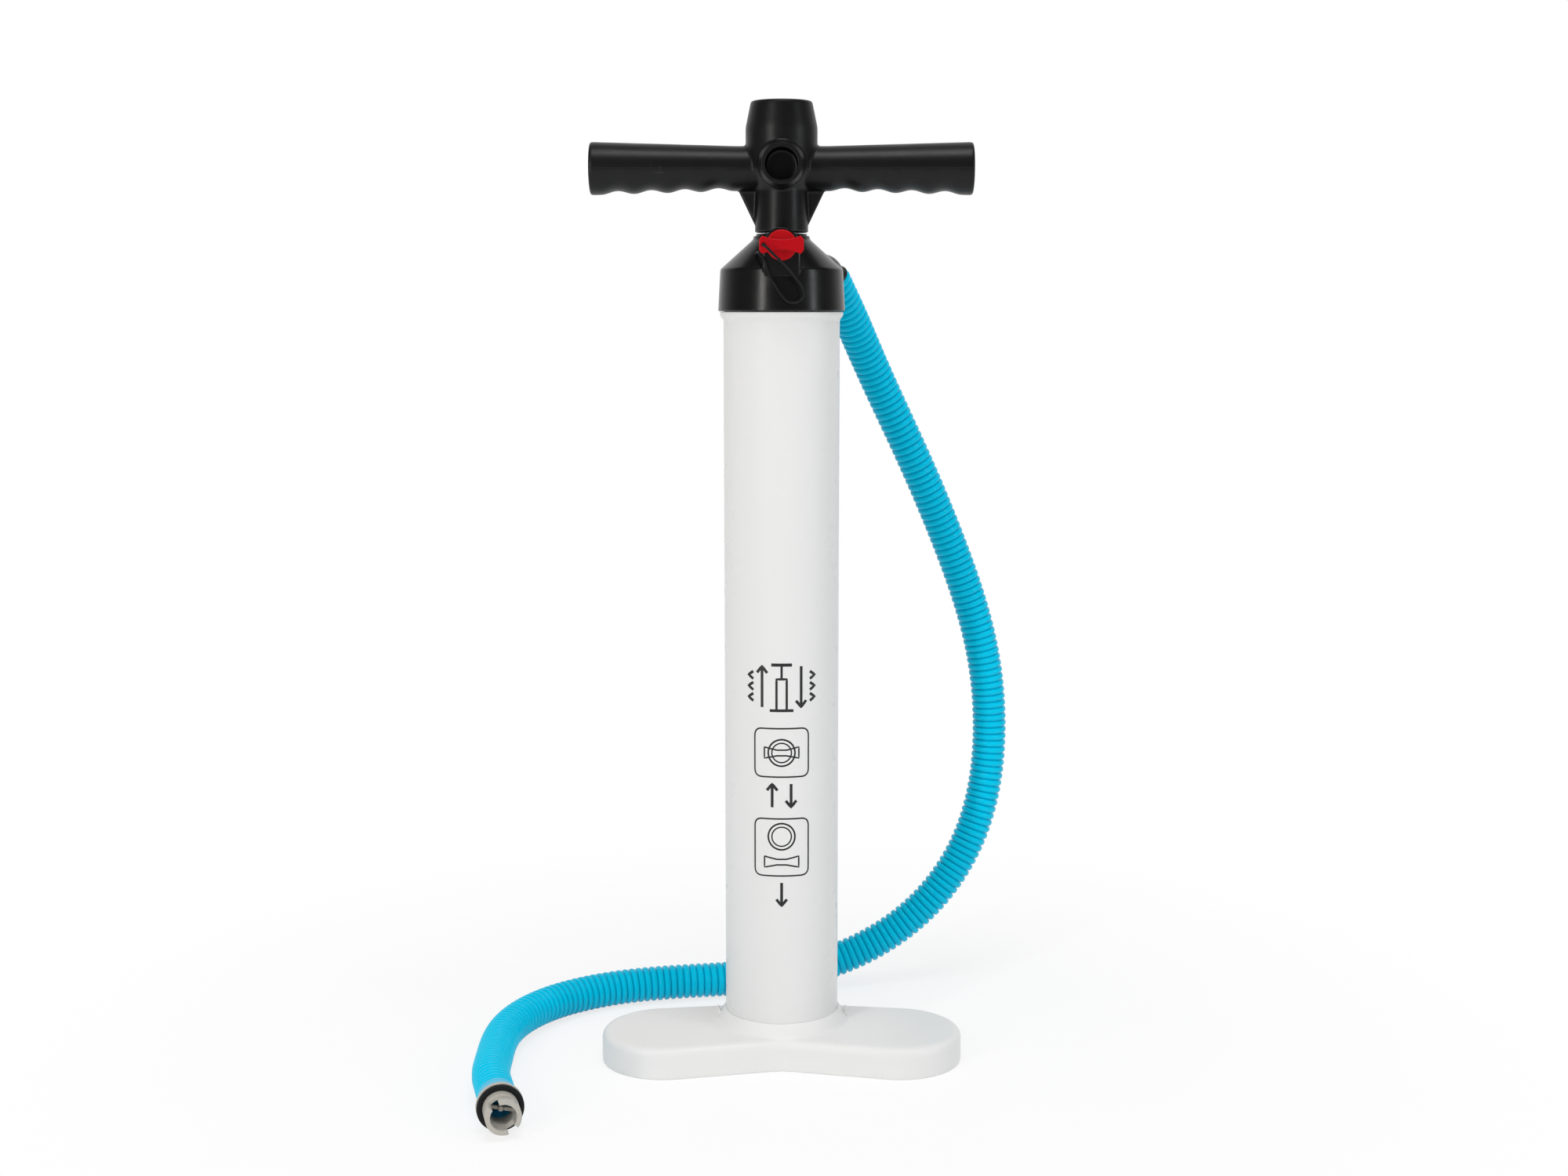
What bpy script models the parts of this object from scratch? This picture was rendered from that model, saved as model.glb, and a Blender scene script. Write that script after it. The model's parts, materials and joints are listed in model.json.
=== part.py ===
"""Double action hand pump with a T handle, a two-lobed foot and a ribbed hose.

Frame: origin on the floor under the barrel's axis, +Z up the barrel, -Y towards the plug on the
cap's front. Lengths are in metres. The handle is fully down.
"""
import math

import bmesh
import bpy
import numpy as np
from mathutils import Matrix, Vector

# Clearances
GAP = 0.0003            # between pieces that touch or seat on each other
SLIDE_GAP = 0.0003      # radial gap of a piece that slides or turns

# Facets on turned pieces
FINE = 32
MEDIUM = 24
COARSE = 16
SMALL = 12

# Barrel
BARREL_RADIUS = 0.0365
BARREL_WALL = 0.0022
BARREL_SHOULDER = 0.4795
LIP_REACH = 0.0021
LIP_HEIGHT = 0.0024
LIP_CHAMFER = 0.0028
NECK_SETBACK = 0.0005
NECK_HEIGHT = 0.0175
BARREL_BORE = BARREL_RADIUS - BARREL_WALL
LIP_RADIUS = BARREL_RADIUS + LIP_REACH
NECK_RADIUS = BARREL_RADIUS - NECK_SETBACK
NECK_TOP = BARREL_SHOULDER + NECK_HEIGHT

# Foot: two lobes and a hub, a shell that is ribbed below, with a collar round the barrel
LOBE_RADIUS = 0.041
LOBE_X = 0.075
LOBE_Y = -0.0205
LOBE_BACK_ANGLE = 86.0
HUB_SHOULDER_ANGLE = 35.3
NOTCH_Y = -0.046
NOTCH_FILLET = 0.008
SHOULDER_FILLET = 0.006
FOOT_HEIGHT = 0.020
FOOT_EDGE_HEIGHT = 0.0046
FOOT_EDGE_WIDTH = 0.005
FOOT_SHELL = 0.003
FOOT_RIB = 0.0024
FOOT_RIB_RELIEF = 0.001
FOOT_RIB_OFFSET = 0.3   # of the lobe's radius, either side of its middle
FOOT_CORE_WALL = 0.0035
COLLAR_WALL = 0.0054
COLLAR_HEIGHT = 0.0083
COLLAR_LIP = 0.001
COLLAR_EAR_RISE = 0.0075
COLLAR_EAR_WIDTH = 0.003
COLLAR_EAR_DEPTH = 0.004
COLLAR_EAR_ROOT = 0.002
HUB_MARGIN = 0.003
SOCKET_FLOOR = 0.006
SOCKET_RADIUS = BARREL_RADIUS + GAP
COLLAR_FOOT_RADIUS = SOCKET_RADIUS + COLLAR_WALL
HUB_RADIUS = COLLAR_FOOT_RADIUS + HUB_MARGIN

# Pumping cylinder, its seat and the head plate
AIR_PASSAGE = 0.0028
CYLINDER_WALL = 0.002
SEAT_THICKNESS = 0.005
SEAT_SPIGOT = 0.006
SEAT_SLOT_WIDTH = 0.008
SEAT_SLOT_DEPTH = 0.0013
SEAT_SLOT_REACH = 0.005
SEAT_SLOT_EDGE = 0.0005
SEAT_SLOT_COUNT = 4
SEAL_CORD = 0.0015
SEAL_HEIGHT = 0.0022
PLATE_THICKNESS = 0.004
PLATE_SPIGOT = 0.008
PLATE_SPIGOT_WALL = 0.0045
PLATE_DROP = 0.005
FLAP_THICKNESS = 0.0008
FLAP_MARGIN = 0.0015
FLAP_SPAN = 150.0
PORT_RADIUS = 0.0033
PORT_STEP = 42.0
CYLINDER_RADIUS = BARREL_BORE - AIR_PASSAGE
CYLINDER_BORE = CYLINDER_RADIUS - CYLINDER_WALL
SEAT_FOOT = SOCKET_FLOOR + GAP
SEAT_FACE = SEAT_FOOT + SEAT_THICKNESS
SEAT_TOP = SEAT_FACE + SEAT_SPIGOT
PLATE_FOOT = NECK_TOP - PLATE_DROP - PLATE_THICKNESS
CYLINDER_FOOT = SEAT_FACE + GAP
CYLINDER_TOP = PLATE_FOOT - GAP

# Rod and piston
ROD_RADIUS = 0.009
ROD_WALL = 0.002
PISTON_START = 0.002
PISTON_HEIGHT = 0.018
PISTON_GAP = 0.0005
VALVE_LIFT = 0.002
VALVE_THICKNESS = 0.0016
VALVE_OVERLAP = 0.004
NUT_FLANGE_REACH = 0.006
NUT_FLANGE = 0.003
NUT_STEM_SETBACK = 0.001
INTAKE_HEIGHT = 0.003
INTAKE_REACH = 0.007
INTAKE_FLOOR = 0.0035
INTAKE_PORT_RADIUS = 0.0022
INTAKE_PORT_COUNT = 6
RING_HEIGHT = 0.005
RING_DEPTH = 0.003
RING_TOP = 0.0025
BAND_HEIGHT = 0.005
BAND_DEPTH = 0.0015
BAND_FOOT = 0.0025
BUMPER_HEIGHT = 0.004
BUMPER_WALL = 0.0045
ROD_BORE = ROD_RADIUS - ROD_WALL
ROD_HOLE = ROD_RADIUS + SLIDE_GAP
ROD_PASSAGE = ROD_HOLE + SLIDE_GAP
PORT_RING = (ROD_PASSAGE + CYLINDER_BORE - GAP - PLATE_SPIGOT_WALL) / 2
FLAP_INNER = PORT_RING - PORT_RADIUS - FLAP_MARGIN
FLAP_OUTER = PORT_RING + PORT_RADIUS + FLAP_MARGIN
PISTON_RADIUS = CYLINDER_BORE - PISTON_GAP
NUT_STEM_RADIUS = ROD_RADIUS - NUT_STEM_SETBACK
NUT_FLANGE_RADIUS = NUT_STEM_RADIUS + NUT_FLANGE_REACH
INTAKE_RADIUS = ROD_RADIUS + INTAKE_REACH
VALVE_RADIUS = INTAKE_RADIUS + VALVE_OVERLAP
NUT_FOOT = SEAT_TOP + PISTON_START
VALVE_FOOT = NUT_FOOT + NUT_FLANGE + GAP
PISTON_FOOT = VALVE_FOOT + VALVE_THICKNESS + VALVE_LIFT + GAP
PISTON_TOP = PISTON_FOOT + PISTON_HEIGHT
INTAKE_FOOT = PISTON_FOOT + INTAKE_FLOOR
ROD_FOOT = INTAKE_FOOT + INTAKE_HEIGHT + GAP

# Cap, with the bush, wiper seal and keeper round the rod
SKIRT_WALL = 0.0021
SKIRT_TAPER = 0.0014
SKIRT_HEIGHT = 0.0259
CAP_CONE_HEIGHT = 0.0186
CAP_NECK_WALL = 0.0028
CAP_NECK_HEIGHT = 0.0021
CAP_WALL = 0.0035
CAP_SHOULDER_ROUND = 0.0012
CAP_SLEEVE_STEP = 0.0015
GASKET_THICKNESS = 0.0014
BUSH_WALL = 0.0024
BUSH_FLANGE = 0.0025
BUSH_FLANGE_REACH = 0.003
SLEEVE_WALL = 0.003
SLEEVE_LENGTH = 0.0204
WIPER_HEIGHT = 0.0026
KEEPER_HEIGHT = 0.0026
KEEPER_REACH = 0.0028
KEEPER_FLANGE = 0.0008
KEEPER_FLANGE_SETBACK = 0.0016
BUSH_RADIUS = ROD_HOLE + BUSH_WALL
SLEEVE_BORE = BUSH_RADIUS + GAP
KEEPER_RADIUS = BUSH_RADIUS + KEEPER_REACH
CAP_NECK_RADIUS = KEEPER_RADIUS + GAP + CAP_NECK_WALL
SKIRT_BORE = NECK_RADIUS + GAP
SKIRT_TOP_RADIUS = SKIRT_BORE + SKIRT_WALL
SKIRT_FOOT_RADIUS = SKIRT_TOP_RADIUS + SKIRT_TAPER
SKIRT_FOOT = BARREL_SHOULDER + GAP
SKIRT_TOP = SKIRT_FOOT + SKIRT_HEIGHT
CONE_TOP = SKIRT_TOP + CAP_CONE_HEIGHT
CONE_SLOPE = CAP_CONE_HEIGHT / (SKIRT_TOP_RADIUS - CAP_NECK_RADIUS)
CAP_TOP = CONE_TOP + CAP_NECK_HEIGHT

# Plug and its port on the cap's front
PORT_BELOW_NECK = 0.0047
PORT_BOSS_RADIUS = 0.0108
PORT_BOSS_REACH = 0.0012
PORT_BORE_RADIUS = 0.006
PORT_BORE_DEPTH = 0.0195
VENT_RADIUS = 0.0045
VENT_SETBACK = 0.014
PLUG_DISC_SETBACK = 0.0015
PLUG_DISC_THICKNESS = 0.0028
PLUG_DISC_EDGE = 0.0007
PLUG_STUB_LENGTH = 0.0125
PLUG_GASKET_THICKNESS = 0.0016
WING_HALF = 0.01345
WING_END_HALF = 0.00545
WING_END_FLAT = 0.6      # of the end's half width
WING_CORNER = 0.0019
WING_WAIST_HALF = 0.0029
WING_THICKNESS = 0.005
WING_HOLE_INSET = 0.00265
WING_HOLE_RADIUS = 0.0013
PORT_HEIGHT = CONE_TOP - PORT_BELOW_NECK
PORT_BOSS_FRONT = SKIRT_FOOT_RADIUS + PORT_BOSS_REACH
PORT_BOSS_BACK = CAP_NECK_RADIUS + PORT_BOSS_REACH
PLUG_DISC_RADIUS = PORT_BOSS_RADIUS - PLUG_DISC_SETBACK
PLUG_GASKET_RADIUS = PLUG_DISC_RADIUS - PLUG_DISC_EDGE
PLUG_GASKET_FOOT = GAP
PLUG_DISC_FOOT = PLUG_GASKET_FOOT + PLUG_GASKET_THICKNESS + GAP
PLUG_DISC_TOP = PLUG_DISC_FOOT + PLUG_DISC_THICKNESS
WING_HOLE_X = WING_HOLE_INSET - WING_HALF

# Tether
TETHER_RADIUS = 0.0008
TETHER_SPACING = 0.0032

# Hose port, elbow and hose
HOSE_CREST_RADIUS = 0.0119
HOSE_RIB_DEPTH = 0.0014
HOSE_WALL = 0.0019
HOSE_RIB_PITCH = 0.0056
HOSE_AZIMUTH = 29.5
HOSE_BOSS_WALL = 0.0031
HOSE_BOSS_REACH = 0.0044
HOSE_PORT_ABOVE_SKIRT = 0.0014
ELBOW_DROP = 48.0
ELBOW_SWING = 4.0
ELBOW_BEND = 0.0115
ELBOW_RADIUS = 0.0092
ELBOW_WALL = 0.003
ELBOW_FLANGE = 0.0027
ELBOW_LEAD = 0.0105
ELBOW_TAIL = 0.0015
ELBOW_NIPPLE_RADIUS = 0.0078
ELBOW_NIPPLE_LENGTH = 0.007
BARB_FIT = 0.0011
BARB_LENGTH = 0.014
HOSE_GROOVE_RADIUS = HOSE_CREST_RADIUS - HOSE_RIB_DEPTH
HOSE_BORE_RADIUS = HOSE_GROOVE_RADIUS - HOSE_WALL
BARB_RADIUS = HOSE_BORE_RADIUS - BARB_FIT
HOSE_HOLE_RADIUS = ELBOW_NIPPLE_RADIUS + GAP
HOSE_BOSS_RADIUS = HOSE_HOLE_RADIUS + HOSE_BOSS_WALL
HOSE_BOSS_FACE = SKIRT_FOOT_RADIUS + HOSE_BOSS_REACH
HOSE_PORT_HEIGHT = SKIRT_TOP + HOSE_PORT_ABOVE_SKIRT

# Hose end: sleeve, flange, gasket and bayonet spigot
CUFF_LENGTH = 0.013
CUFF_SETBACK = 0.0002
SPIGOT_RADIUS = 0.0108
SPIGOT_WALL = 0.00295
SPIGOT_LENGTH = 0.018
FLANGE_REACH = 0.00345
FLANGE_THICKNESS = 0.003
SEAL_RING_SETBACK = 0.0001
SEAL_RING_THICKNESS = 0.003
SLOT_MOUTH_SPAN = 35.0
SLOT_HOOK_SPAN = 78.0
SLOT_HOOK_WIDTH = 0.0052
SLOT_DEPTH = 0.0092
SLOT_START = 156.0
CROSS_BAR = 0.0022
CROSS_BAR_LIFT = 0.0005
CUFF_RADIUS = HOSE_CREST_RADIUS - CUFF_SETBACK
FLANGE_RADIUS = SPIGOT_RADIUS + FLANGE_REACH
SEAL_RING_RADIUS = FLANGE_RADIUS - SEAL_RING_SETBACK

# Handle
HANDLE_LIFT = 0.0019
HANDLE_HEIGHT = 0.0803
HANDLE_GRIP_RISE = 0.0393
HANDLE_EDGE = 0.001
HANDLE_FOOT_RADIUS = 0.01665
HANDLE_WAIST_RADIUS = 0.01575
HANDLE_WAIST_RISE = 0.0277
HEAD_RADIUS = 0.02235
HEAD_RISE = 0.0377
HEAD_TOP_RADIUS = 0.019
HEAD_SHOULDER_RISE = 0.0642
HEAD_SOCKET_WALL = 0.003
HEAD_SOCKET_DEPTH = 0.0225
GRIP_HALF_LENGTH = 0.119
GRIP_ROOT_RADIUS = 0.0136
GRIP_END_RADIUS = 0.0163
GRIP_END_WALL = 0.0053
GRIP_BORE_DRAFT = 0.9    # of the bore's mouth radius, at its floor
GRIP_BORE_DEPTH = 0.074
FINGER_FIRST = 0.0396
FINGER_PITCH = 0.0208
FINGER_DEPTH = 0.0021
FINGER_END_PLAIN = 0.005    # least grip left plain past the last groove
FRONT_BOSS_RISE = 0.0407
FRONT_BOSS_PROUD = 0.00665
FRONT_BOSS_RADIUS = 0.0143
FRONT_BOSS_TAPER = 0.0018
FRONT_HOLE_WALL = 0.0025
FRONT_HOLE_DEPTH = 0.022
GUSSET_FOOT_PROUD = 0.00035
GUSSET_TOP_PROUD = 0.004
GUSSET_FOOT_RISE = 0.0053
GUSSET_TOP_DROP = 0.0146
GUSSET_THICKNESS = 0.004
ROD_SOCKET_DEPTH = 0.024
SCREW_RADIUS = 0.0019
SCREW_HEAD_RADIUS = 0.0036
SCREW_HEAD_HEIGHT = 0.0022
SCREW_HEAD_EDGE = 0.0008
SCREW_RISE = 0.0127
FINGER_COUNT = int((GRIP_HALF_LENGTH - FINGER_END_PLAIN - FINGER_FIRST) / FINGER_PITCH + 0.5)
HANDLE_FOOT = CAP_TOP + HANDLE_LIFT
HANDLE_TOP = HANDLE_FOOT + HANDLE_HEIGHT
GRIP_HEIGHT = HANDLE_FOOT + HANDLE_GRIP_RISE
GRIP_BORE_RADIUS = GRIP_END_RADIUS - GRIP_END_WALL
HEAD_SOCKET_RADIUS = HEAD_TOP_RADIUS - HEAD_SOCKET_WALL
FRONT_BOSS_HEIGHT = HANDLE_FOOT + FRONT_BOSS_RISE
FRONT_BOSS_REACH = HEAD_RADIUS + FRONT_BOSS_PROUD
FRONT_RIM_RADIUS = FRONT_BOSS_RADIUS - FRONT_BOSS_TAPER
FRONT_HOLE_RADIUS = FRONT_RIM_RADIUS - FRONT_HOLE_WALL
GUSSET_FOOT_RADIUS = HANDLE_FOOT_RADIUS + GUSSET_FOOT_PROUD
GUSSET_TOP_RADIUS = HEAD_RADIUS + GUSSET_TOP_PROUD
ROD_TOP = HANDLE_FOOT + ROD_SOCKET_DEPTH - GAP
SCREW_HEIGHT = HANDLE_FOOT + SCREW_RISE
SCREW_SEAT = HANDLE_WAIST_RADIUS - SCREW_HEAD_HEIGHT

# Hose route between its two straight ends: points in millimetres, chosen along the photographed curve
HOSE_ROUTE = [
    (59, 94, 446), (90, 115, 381), (119, 130, 314), (141, 138, 246), (148, 140, 178),
    (136, 136, 110), (107, 131, 62.5), (60, 125, 27.5), (12, 115, 13.2), (-40, 98.5, 12.4),
    (-106, 83, 12.5), (-157.5, 46.5, 12.6), (-180.5, -5.5, 12.5), (-181.5, -56, 12.5),
]
CONNECTOR_FACE = Vector((-0.1671, -0.1365, 0.0144))
CONNECTOR_AXIS = Vector((0.25, -0.968, 0.0)).normalized()

# Tether route from the plug's wing to the cone of the cap: points in millimetres
TETHER_ROUTE = [
    (-10.9, -53.5, 519.6), (-10.5, -56, 519.2), (-8.3, -57.2, 517.3), (-4.5, -56.4, 513.5),
    (0, -54.2, 509.5), (4.2, -51, 505), (8.8, -46, 499.4), (12.6, -42.7, 493.8), (13.2, -42.2, 489),
    (10, -43, 485.8), (5.5, -43.6, 485.2), (1, -43.5, 488.5), (-3.5, -43, 495), (-7, -43, 501),
    (-9, -43, 506.5), (-10.5, -43, 510.8), (-12.4, -41.8, 513.6), (-13.8, -38, 515.2), (-15, -32.5, 515.2),
]
TETHER_END = Vector((-0.0154, -0.0272, 0.5129))
TETHER_END_WAY = (0.33, 0.58, -0.74)


def clear_scene():
    """Remove every object of the open scene."""
    for obj in list(bpy.data.objects):
        bpy.data.objects.remove(obj, do_unlink=True)


def make_material(name, colour, roughness, metallic=0.0):
    """Return a Principled material of one colour."""
    material = bpy.data.materials.new(name)
    material.use_nodes = True
    shader = material.node_tree.nodes["Principled BSDF"]
    shader.inputs["Base Color"].default_value = (*colour, 1.0)
    shader.inputs["Roughness"].default_value = roughness
    shader.inputs["Metallic"].default_value = metallic
    return material


def make_object(name, bm, material=None, parent=None, smooth_angle=32.0):
    """Turn a bmesh into a named object, shaded smooth up to an angle."""
    mesh = bpy.data.meshes.new(name)
    bm.to_mesh(mesh)
    bm.free()
    mesh.shade_smooth()
    mesh.set_sharp_from_angle(angle=math.radians(smooth_angle))
    obj = bpy.data.objects.new(name, mesh)
    bpy.context.scene.collection.objects.link(obj)
    if material:
        mesh.materials.append(material)
    if parent:
        obj.parent = parent
        obj.matrix_parent_inverse = parent.matrix_world.inverted()
    return obj


def make_cutter(name, bm):
    """Turn a bmesh into a hidden object that only shapes others."""
    obj = make_object(name, bm)
    obj.hide_render = True
    obj.display_type = "WIRE"
    return obj


def combine(obj, other, operation="DIFFERENCE", overlapping=False):
    """Cut or join a hidden object into obj with an exact Boolean."""
    modifier = obj.modifiers.new(other.name, "BOOLEAN")
    modifier.operation = operation
    modifier.solver = "EXACT"
    modifier.object = other
    modifier.use_self = overlapping


def make_axis(name, location):
    """Return an empty that marks a joint's axis."""
    empty = bpy.data.objects.new(name, None)
    empty.location = location
    bpy.context.scene.collection.objects.link(empty)
    bpy.context.view_layer.update()
    return empty


def turned(profile, segments):
    """Spin an outline of (radius, height) points about Z into a closed body."""
    bm = bmesh.new()
    verts = [bm.verts.new((radius, 0.0, height)) for radius, height in profile]
    edges = []
    for first, second in zip(verts, verts[1:] + verts[:1]):
        if first.co.x > 0.0 or second.co.x > 0.0:
            edges.append(bm.edges.new((first, second)))
    bmesh.ops.spin(bm, geom=verts + edges, cent=(0, 0, 0), axis=(0, 0, 1), angle=math.tau,
                   steps=segments, use_merge=True)
    bmesh.ops.remove_doubles(bm, verts=bm.verts, dist=1e-6)
    bmesh.ops.recalc_face_normals(bm, faces=bm.faces)
    return bm


def ring_profile(inner, outer, low, high):
    """Return the outline of a plain ring."""
    return [(outer, high), (outer, low), (inner, low), (inner, high)]


def prism(outline, low, high):
    """Extrude a flat outline of (x, y) points from one height to another."""
    bm = bmesh.new()
    face = bm.faces.new([bm.verts.new((x, y, low)) for x, y in outline])
    grown = bmesh.ops.extrude_face_region(bm, geom=[face])
    lifted = [item for item in grown["geom"] if isinstance(item, bmesh.types.BMVert)]
    bmesh.ops.translate(bm, verts=lifted, vec=(0, 0, high - low))
    bmesh.ops.recalc_face_normals(bm, faces=bm.faces)
    return bm


def box(low, high):
    """Return a box between two corners."""
    outline = [(low[0], low[1]), (high[0], low[1]), (high[0], high[1]), (low[0], high[1])]
    return prism(outline, low[2], high[2])


def merged(parts):
    """Join several bmeshes into one, as separate or overlapping bodies."""
    whole = bmesh.new()
    for part in parts:
        mesh = bpy.data.meshes.new("part")
        part.to_mesh(mesh)
        part.free()
        whole.from_mesh(mesh)
        bpy.data.meshes.remove(mesh)
    return whole


def cylinder(start, end, start_radius, segments, end_radius=None):
    """Return a capped cylinder or cone between two points, its facets a quarter step round."""
    start = Vector(start)
    along = Vector(end) - start
    turn = Vector((0, 0, 1)).rotation_difference(along).to_matrix().to_4x4()
    turn = turn @ Matrix.Rotation(math.pi / segments / 2, 4, "Z")
    bm = bmesh.new()
    bmesh.ops.create_cone(bm, cap_ends=True, segments=segments, radius1=start_radius,
                          radius2=start_radius if end_radius is None else end_radius, depth=along.length,
                          matrix=Matrix.Translation(start + along / 2) @ turn)
    return bm


def arc(centre, radius, first, last, steps):
    """Return points on an arc, angles in degrees."""
    points = []
    for step in range(steps + 1):
        angle = math.radians(first + (last - first) * step / steps)
        points.append((centre[0] + radius * math.cos(angle), centre[1] + radius * math.sin(angle)))
    return points


def spline_through(points, start_way, end_way):
    """Return 40 samples a span of a cubic spline with set end directions."""
    knots = np.array(points, dtype=float)
    spans = np.linalg.norm(np.diff(knots, axis=0), axis=1)
    count = len(knots)
    system = np.eye(count)
    known = np.zeros((count, 3))
    known[0] = start_way
    known[-1] = end_way
    for i in range(1, count - 1):
        before, after = spans[i - 1], spans[i]
        system[i, i - 1:i + 2] = after, 2.0 * (before + after), before
        rise_before = after / before * (knots[i] - knots[i - 1])
        rise_after = before / after * (knots[i + 1] - knots[i])
        known[i] = 3.0 * (rise_before + rise_after)
    slopes = np.linalg.solve(system, known)
    samples = []
    for i in range(count - 1):
        for t in np.linspace(0.0, 1.0, 40, endpoint=i == count - 2):
            samples.append((2 * t**3 - 3 * t**2 + 1) * knots[i] + (t**3 - 2 * t**2 + t) * spans[i] * slopes[i]
                           + (3 * t**2 - 2 * t**3) * knots[i + 1] + (t**3 - t**2) * spans[i] * slopes[i + 1])
    return np.array(samples)


def even_points(samples, spacing):
    """Return evenly spaced points along a sampled line, and the line's length."""
    steps = np.linalg.norm(np.diff(samples, axis=0), axis=1)
    run = np.concatenate([[0.0], np.cumsum(steps)])
    count = max(2, round(run[-1] / spacing))
    stations = np.linspace(0.0, run[-1], count + 1)
    return np.stack([np.interp(stations, run, samples[:, k]) for k in range(3)], axis=1), run[-1]


def tube_mesh(points, radii, resolution):
    """Bevel a poly curve into a capped tube and return it as a bmesh."""
    curve = bpy.data.curves.new("tube", "CURVE")
    curve.dimensions = "3D"
    curve.bevel_depth = 1.0
    curve.bevel_resolution = resolution
    curve.use_fill_caps = True
    line = curve.splines.new("POLY")
    line.points.add(len(points) - 1)
    for knot, point, radius in zip(line.points, points, radii):
        knot.co = (*point, 1.0)
        knot.radius = radius
    obj = bpy.data.objects.new("tube", curve)
    bpy.context.scene.collection.objects.link(obj)
    mesh = bpy.data.meshes.new_from_object(obj.evaluated_get(bpy.context.evaluated_depsgraph_get()))
    bpy.data.objects.remove(obj, do_unlink=True)
    bpy.data.curves.remove(curve)
    bm = bmesh.new()
    bm.from_mesh(mesh)
    bpy.data.meshes.remove(mesh)
    bmesh.ops.remove_doubles(bm, verts=bm.verts, dist=1e-6)
    bmesh.ops.recalc_face_normals(bm, faces=bm.faces)
    return bm


def foot_outline():
    """Return the foot's plan outline and the indexes of its corners that get a fillet."""
    notch = Vector((0.0, NOTCH_Y))
    lobe = Vector((LOBE_X, LOBE_Y))
    to_lobe = lobe - notch
    tangent_angle = math.atan2(to_lobe.y, to_lobe.x) - math.asin(LOBE_RADIUS / to_lobe.length)
    right = arc(lobe, LOBE_RADIUS, math.degrees(tangent_angle) - 90.0, LOBE_BACK_ANGLE, 18)
    shoulder = len(right)
    right += arc((0.0, 0.0), HUB_RADIUS, HUB_SHOULDER_ANGLE, 90.0, 7)
    left = [(-x, y) for x, y in reversed(right[:-1])]
    corners = {0: NOTCH_FILLET, 1 + shoulder: SHOULDER_FILLET, 2 * len(right) - 1 - shoulder: SHOULDER_FILLET}
    return [tuple(notch)] + right + left, corners


def foot_plan():
    """Return a bmesh with the filleted plan outline as one flat face."""
    outline, corners = foot_outline()
    bm = bmesh.new()
    verts = [bm.verts.new((x, y, 0.0)) for x, y in outline]
    bm.faces.new(verts)
    for index, fillet in corners.items():
        bmesh.ops.bevel(bm, geom=[verts[index]], offset=fillet, offset_type="OFFSET", segments=4,
                        profile=0.5, affect="VERTICES", material=-1)
    return bm


def foot_block():
    """Return the foot's outer form with its rounded top edge."""
    bm = foot_plan()
    face = bm.faces[:][0]
    grown = bmesh.ops.extrude_face_region(bm, geom=[face])
    top = next(item for item in grown["geom"] if isinstance(item, bmesh.types.BMFace))
    bmesh.ops.translate(bm, verts=top.verts, vec=(0, 0, FOOT_HEIGHT - FOOT_EDGE_HEIGHT))
    steps = 3
    for step in range(1, steps + 1):
        before = math.radians(90.0 * (step - 1) / steps)
        after = math.radians(90.0 * step / steps)
        step_in = FOOT_EDGE_WIDTH * (math.cos(before) - math.cos(after))
        bmesh.ops.inset_region(bm, faces=[top], thickness=step_in, use_even_offset=True, use_boundary=True)
        rise = FOOT_EDGE_HEIGHT * (math.sin(after) - math.sin(before))
        bmesh.ops.translate(bm, verts=top.verts, vec=(0, 0, rise))
    bmesh.ops.recalc_face_normals(bm, faces=bm.faces)
    return bm


def foot_cavity():
    """Return the hidden form that hollows the foot from below, with its ribs left standing."""
    bm = foot_plan()
    face = bm.faces[:][0]
    bmesh.ops.inset_region(bm, faces=[face], thickness=FOOT_SHELL, use_even_offset=True, use_boundary=True)
    bmesh.ops.delete(bm, geom=[item for item in bm.faces if item is not face], context="FACES")
    bmesh.ops.translate(bm, verts=bm.verts, vec=(0, 0, -FOOT_SHELL))
    grown = bmesh.ops.extrude_face_region(bm, geom=[face])
    lifted = [item for item in grown["geom"] if isinstance(item, bmesh.types.BMVert)]
    bmesh.ops.translate(bm, verts=lifted, vec=(0, 0, FOOT_HEIGHT))
    bmesh.ops.recalc_face_normals(bm, faces=bm.faces)
    cavity = make_cutter("foot_cavity", bm)
    half = FOOT_RIB / 2
    reach = LOBE_X + LOBE_RADIUS
    core_radius = SOCKET_RADIUS + FOOT_CORE_WALL
    ribs = [box((-reach, LOBE_Y - half, FOOT_RIB_RELIEF), (reach, LOBE_Y + half, FOOT_HEIGHT * 2))]
    for side in (-1, 1):
        for offset in (-FOOT_RIB_OFFSET, FOOT_RIB_OFFSET):
            x = side * (LOBE_X + offset * LOBE_RADIUS)
            ribs.append(box((x - half, LOBE_Y - LOBE_RADIUS, FOOT_RIB_RELIEF),
                            (x + half, LOBE_Y + LOBE_RADIUS, FOOT_HEIGHT * 2)))
    ribs.append(cylinder((0, 0, -FOOT_SHELL * 2), (0, 0, FOOT_HEIGHT * 2), core_radius, FINE))
    combine(cavity, make_cutter("foot_ribs", merged(ribs)), overlapping=True)
    return cavity


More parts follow.
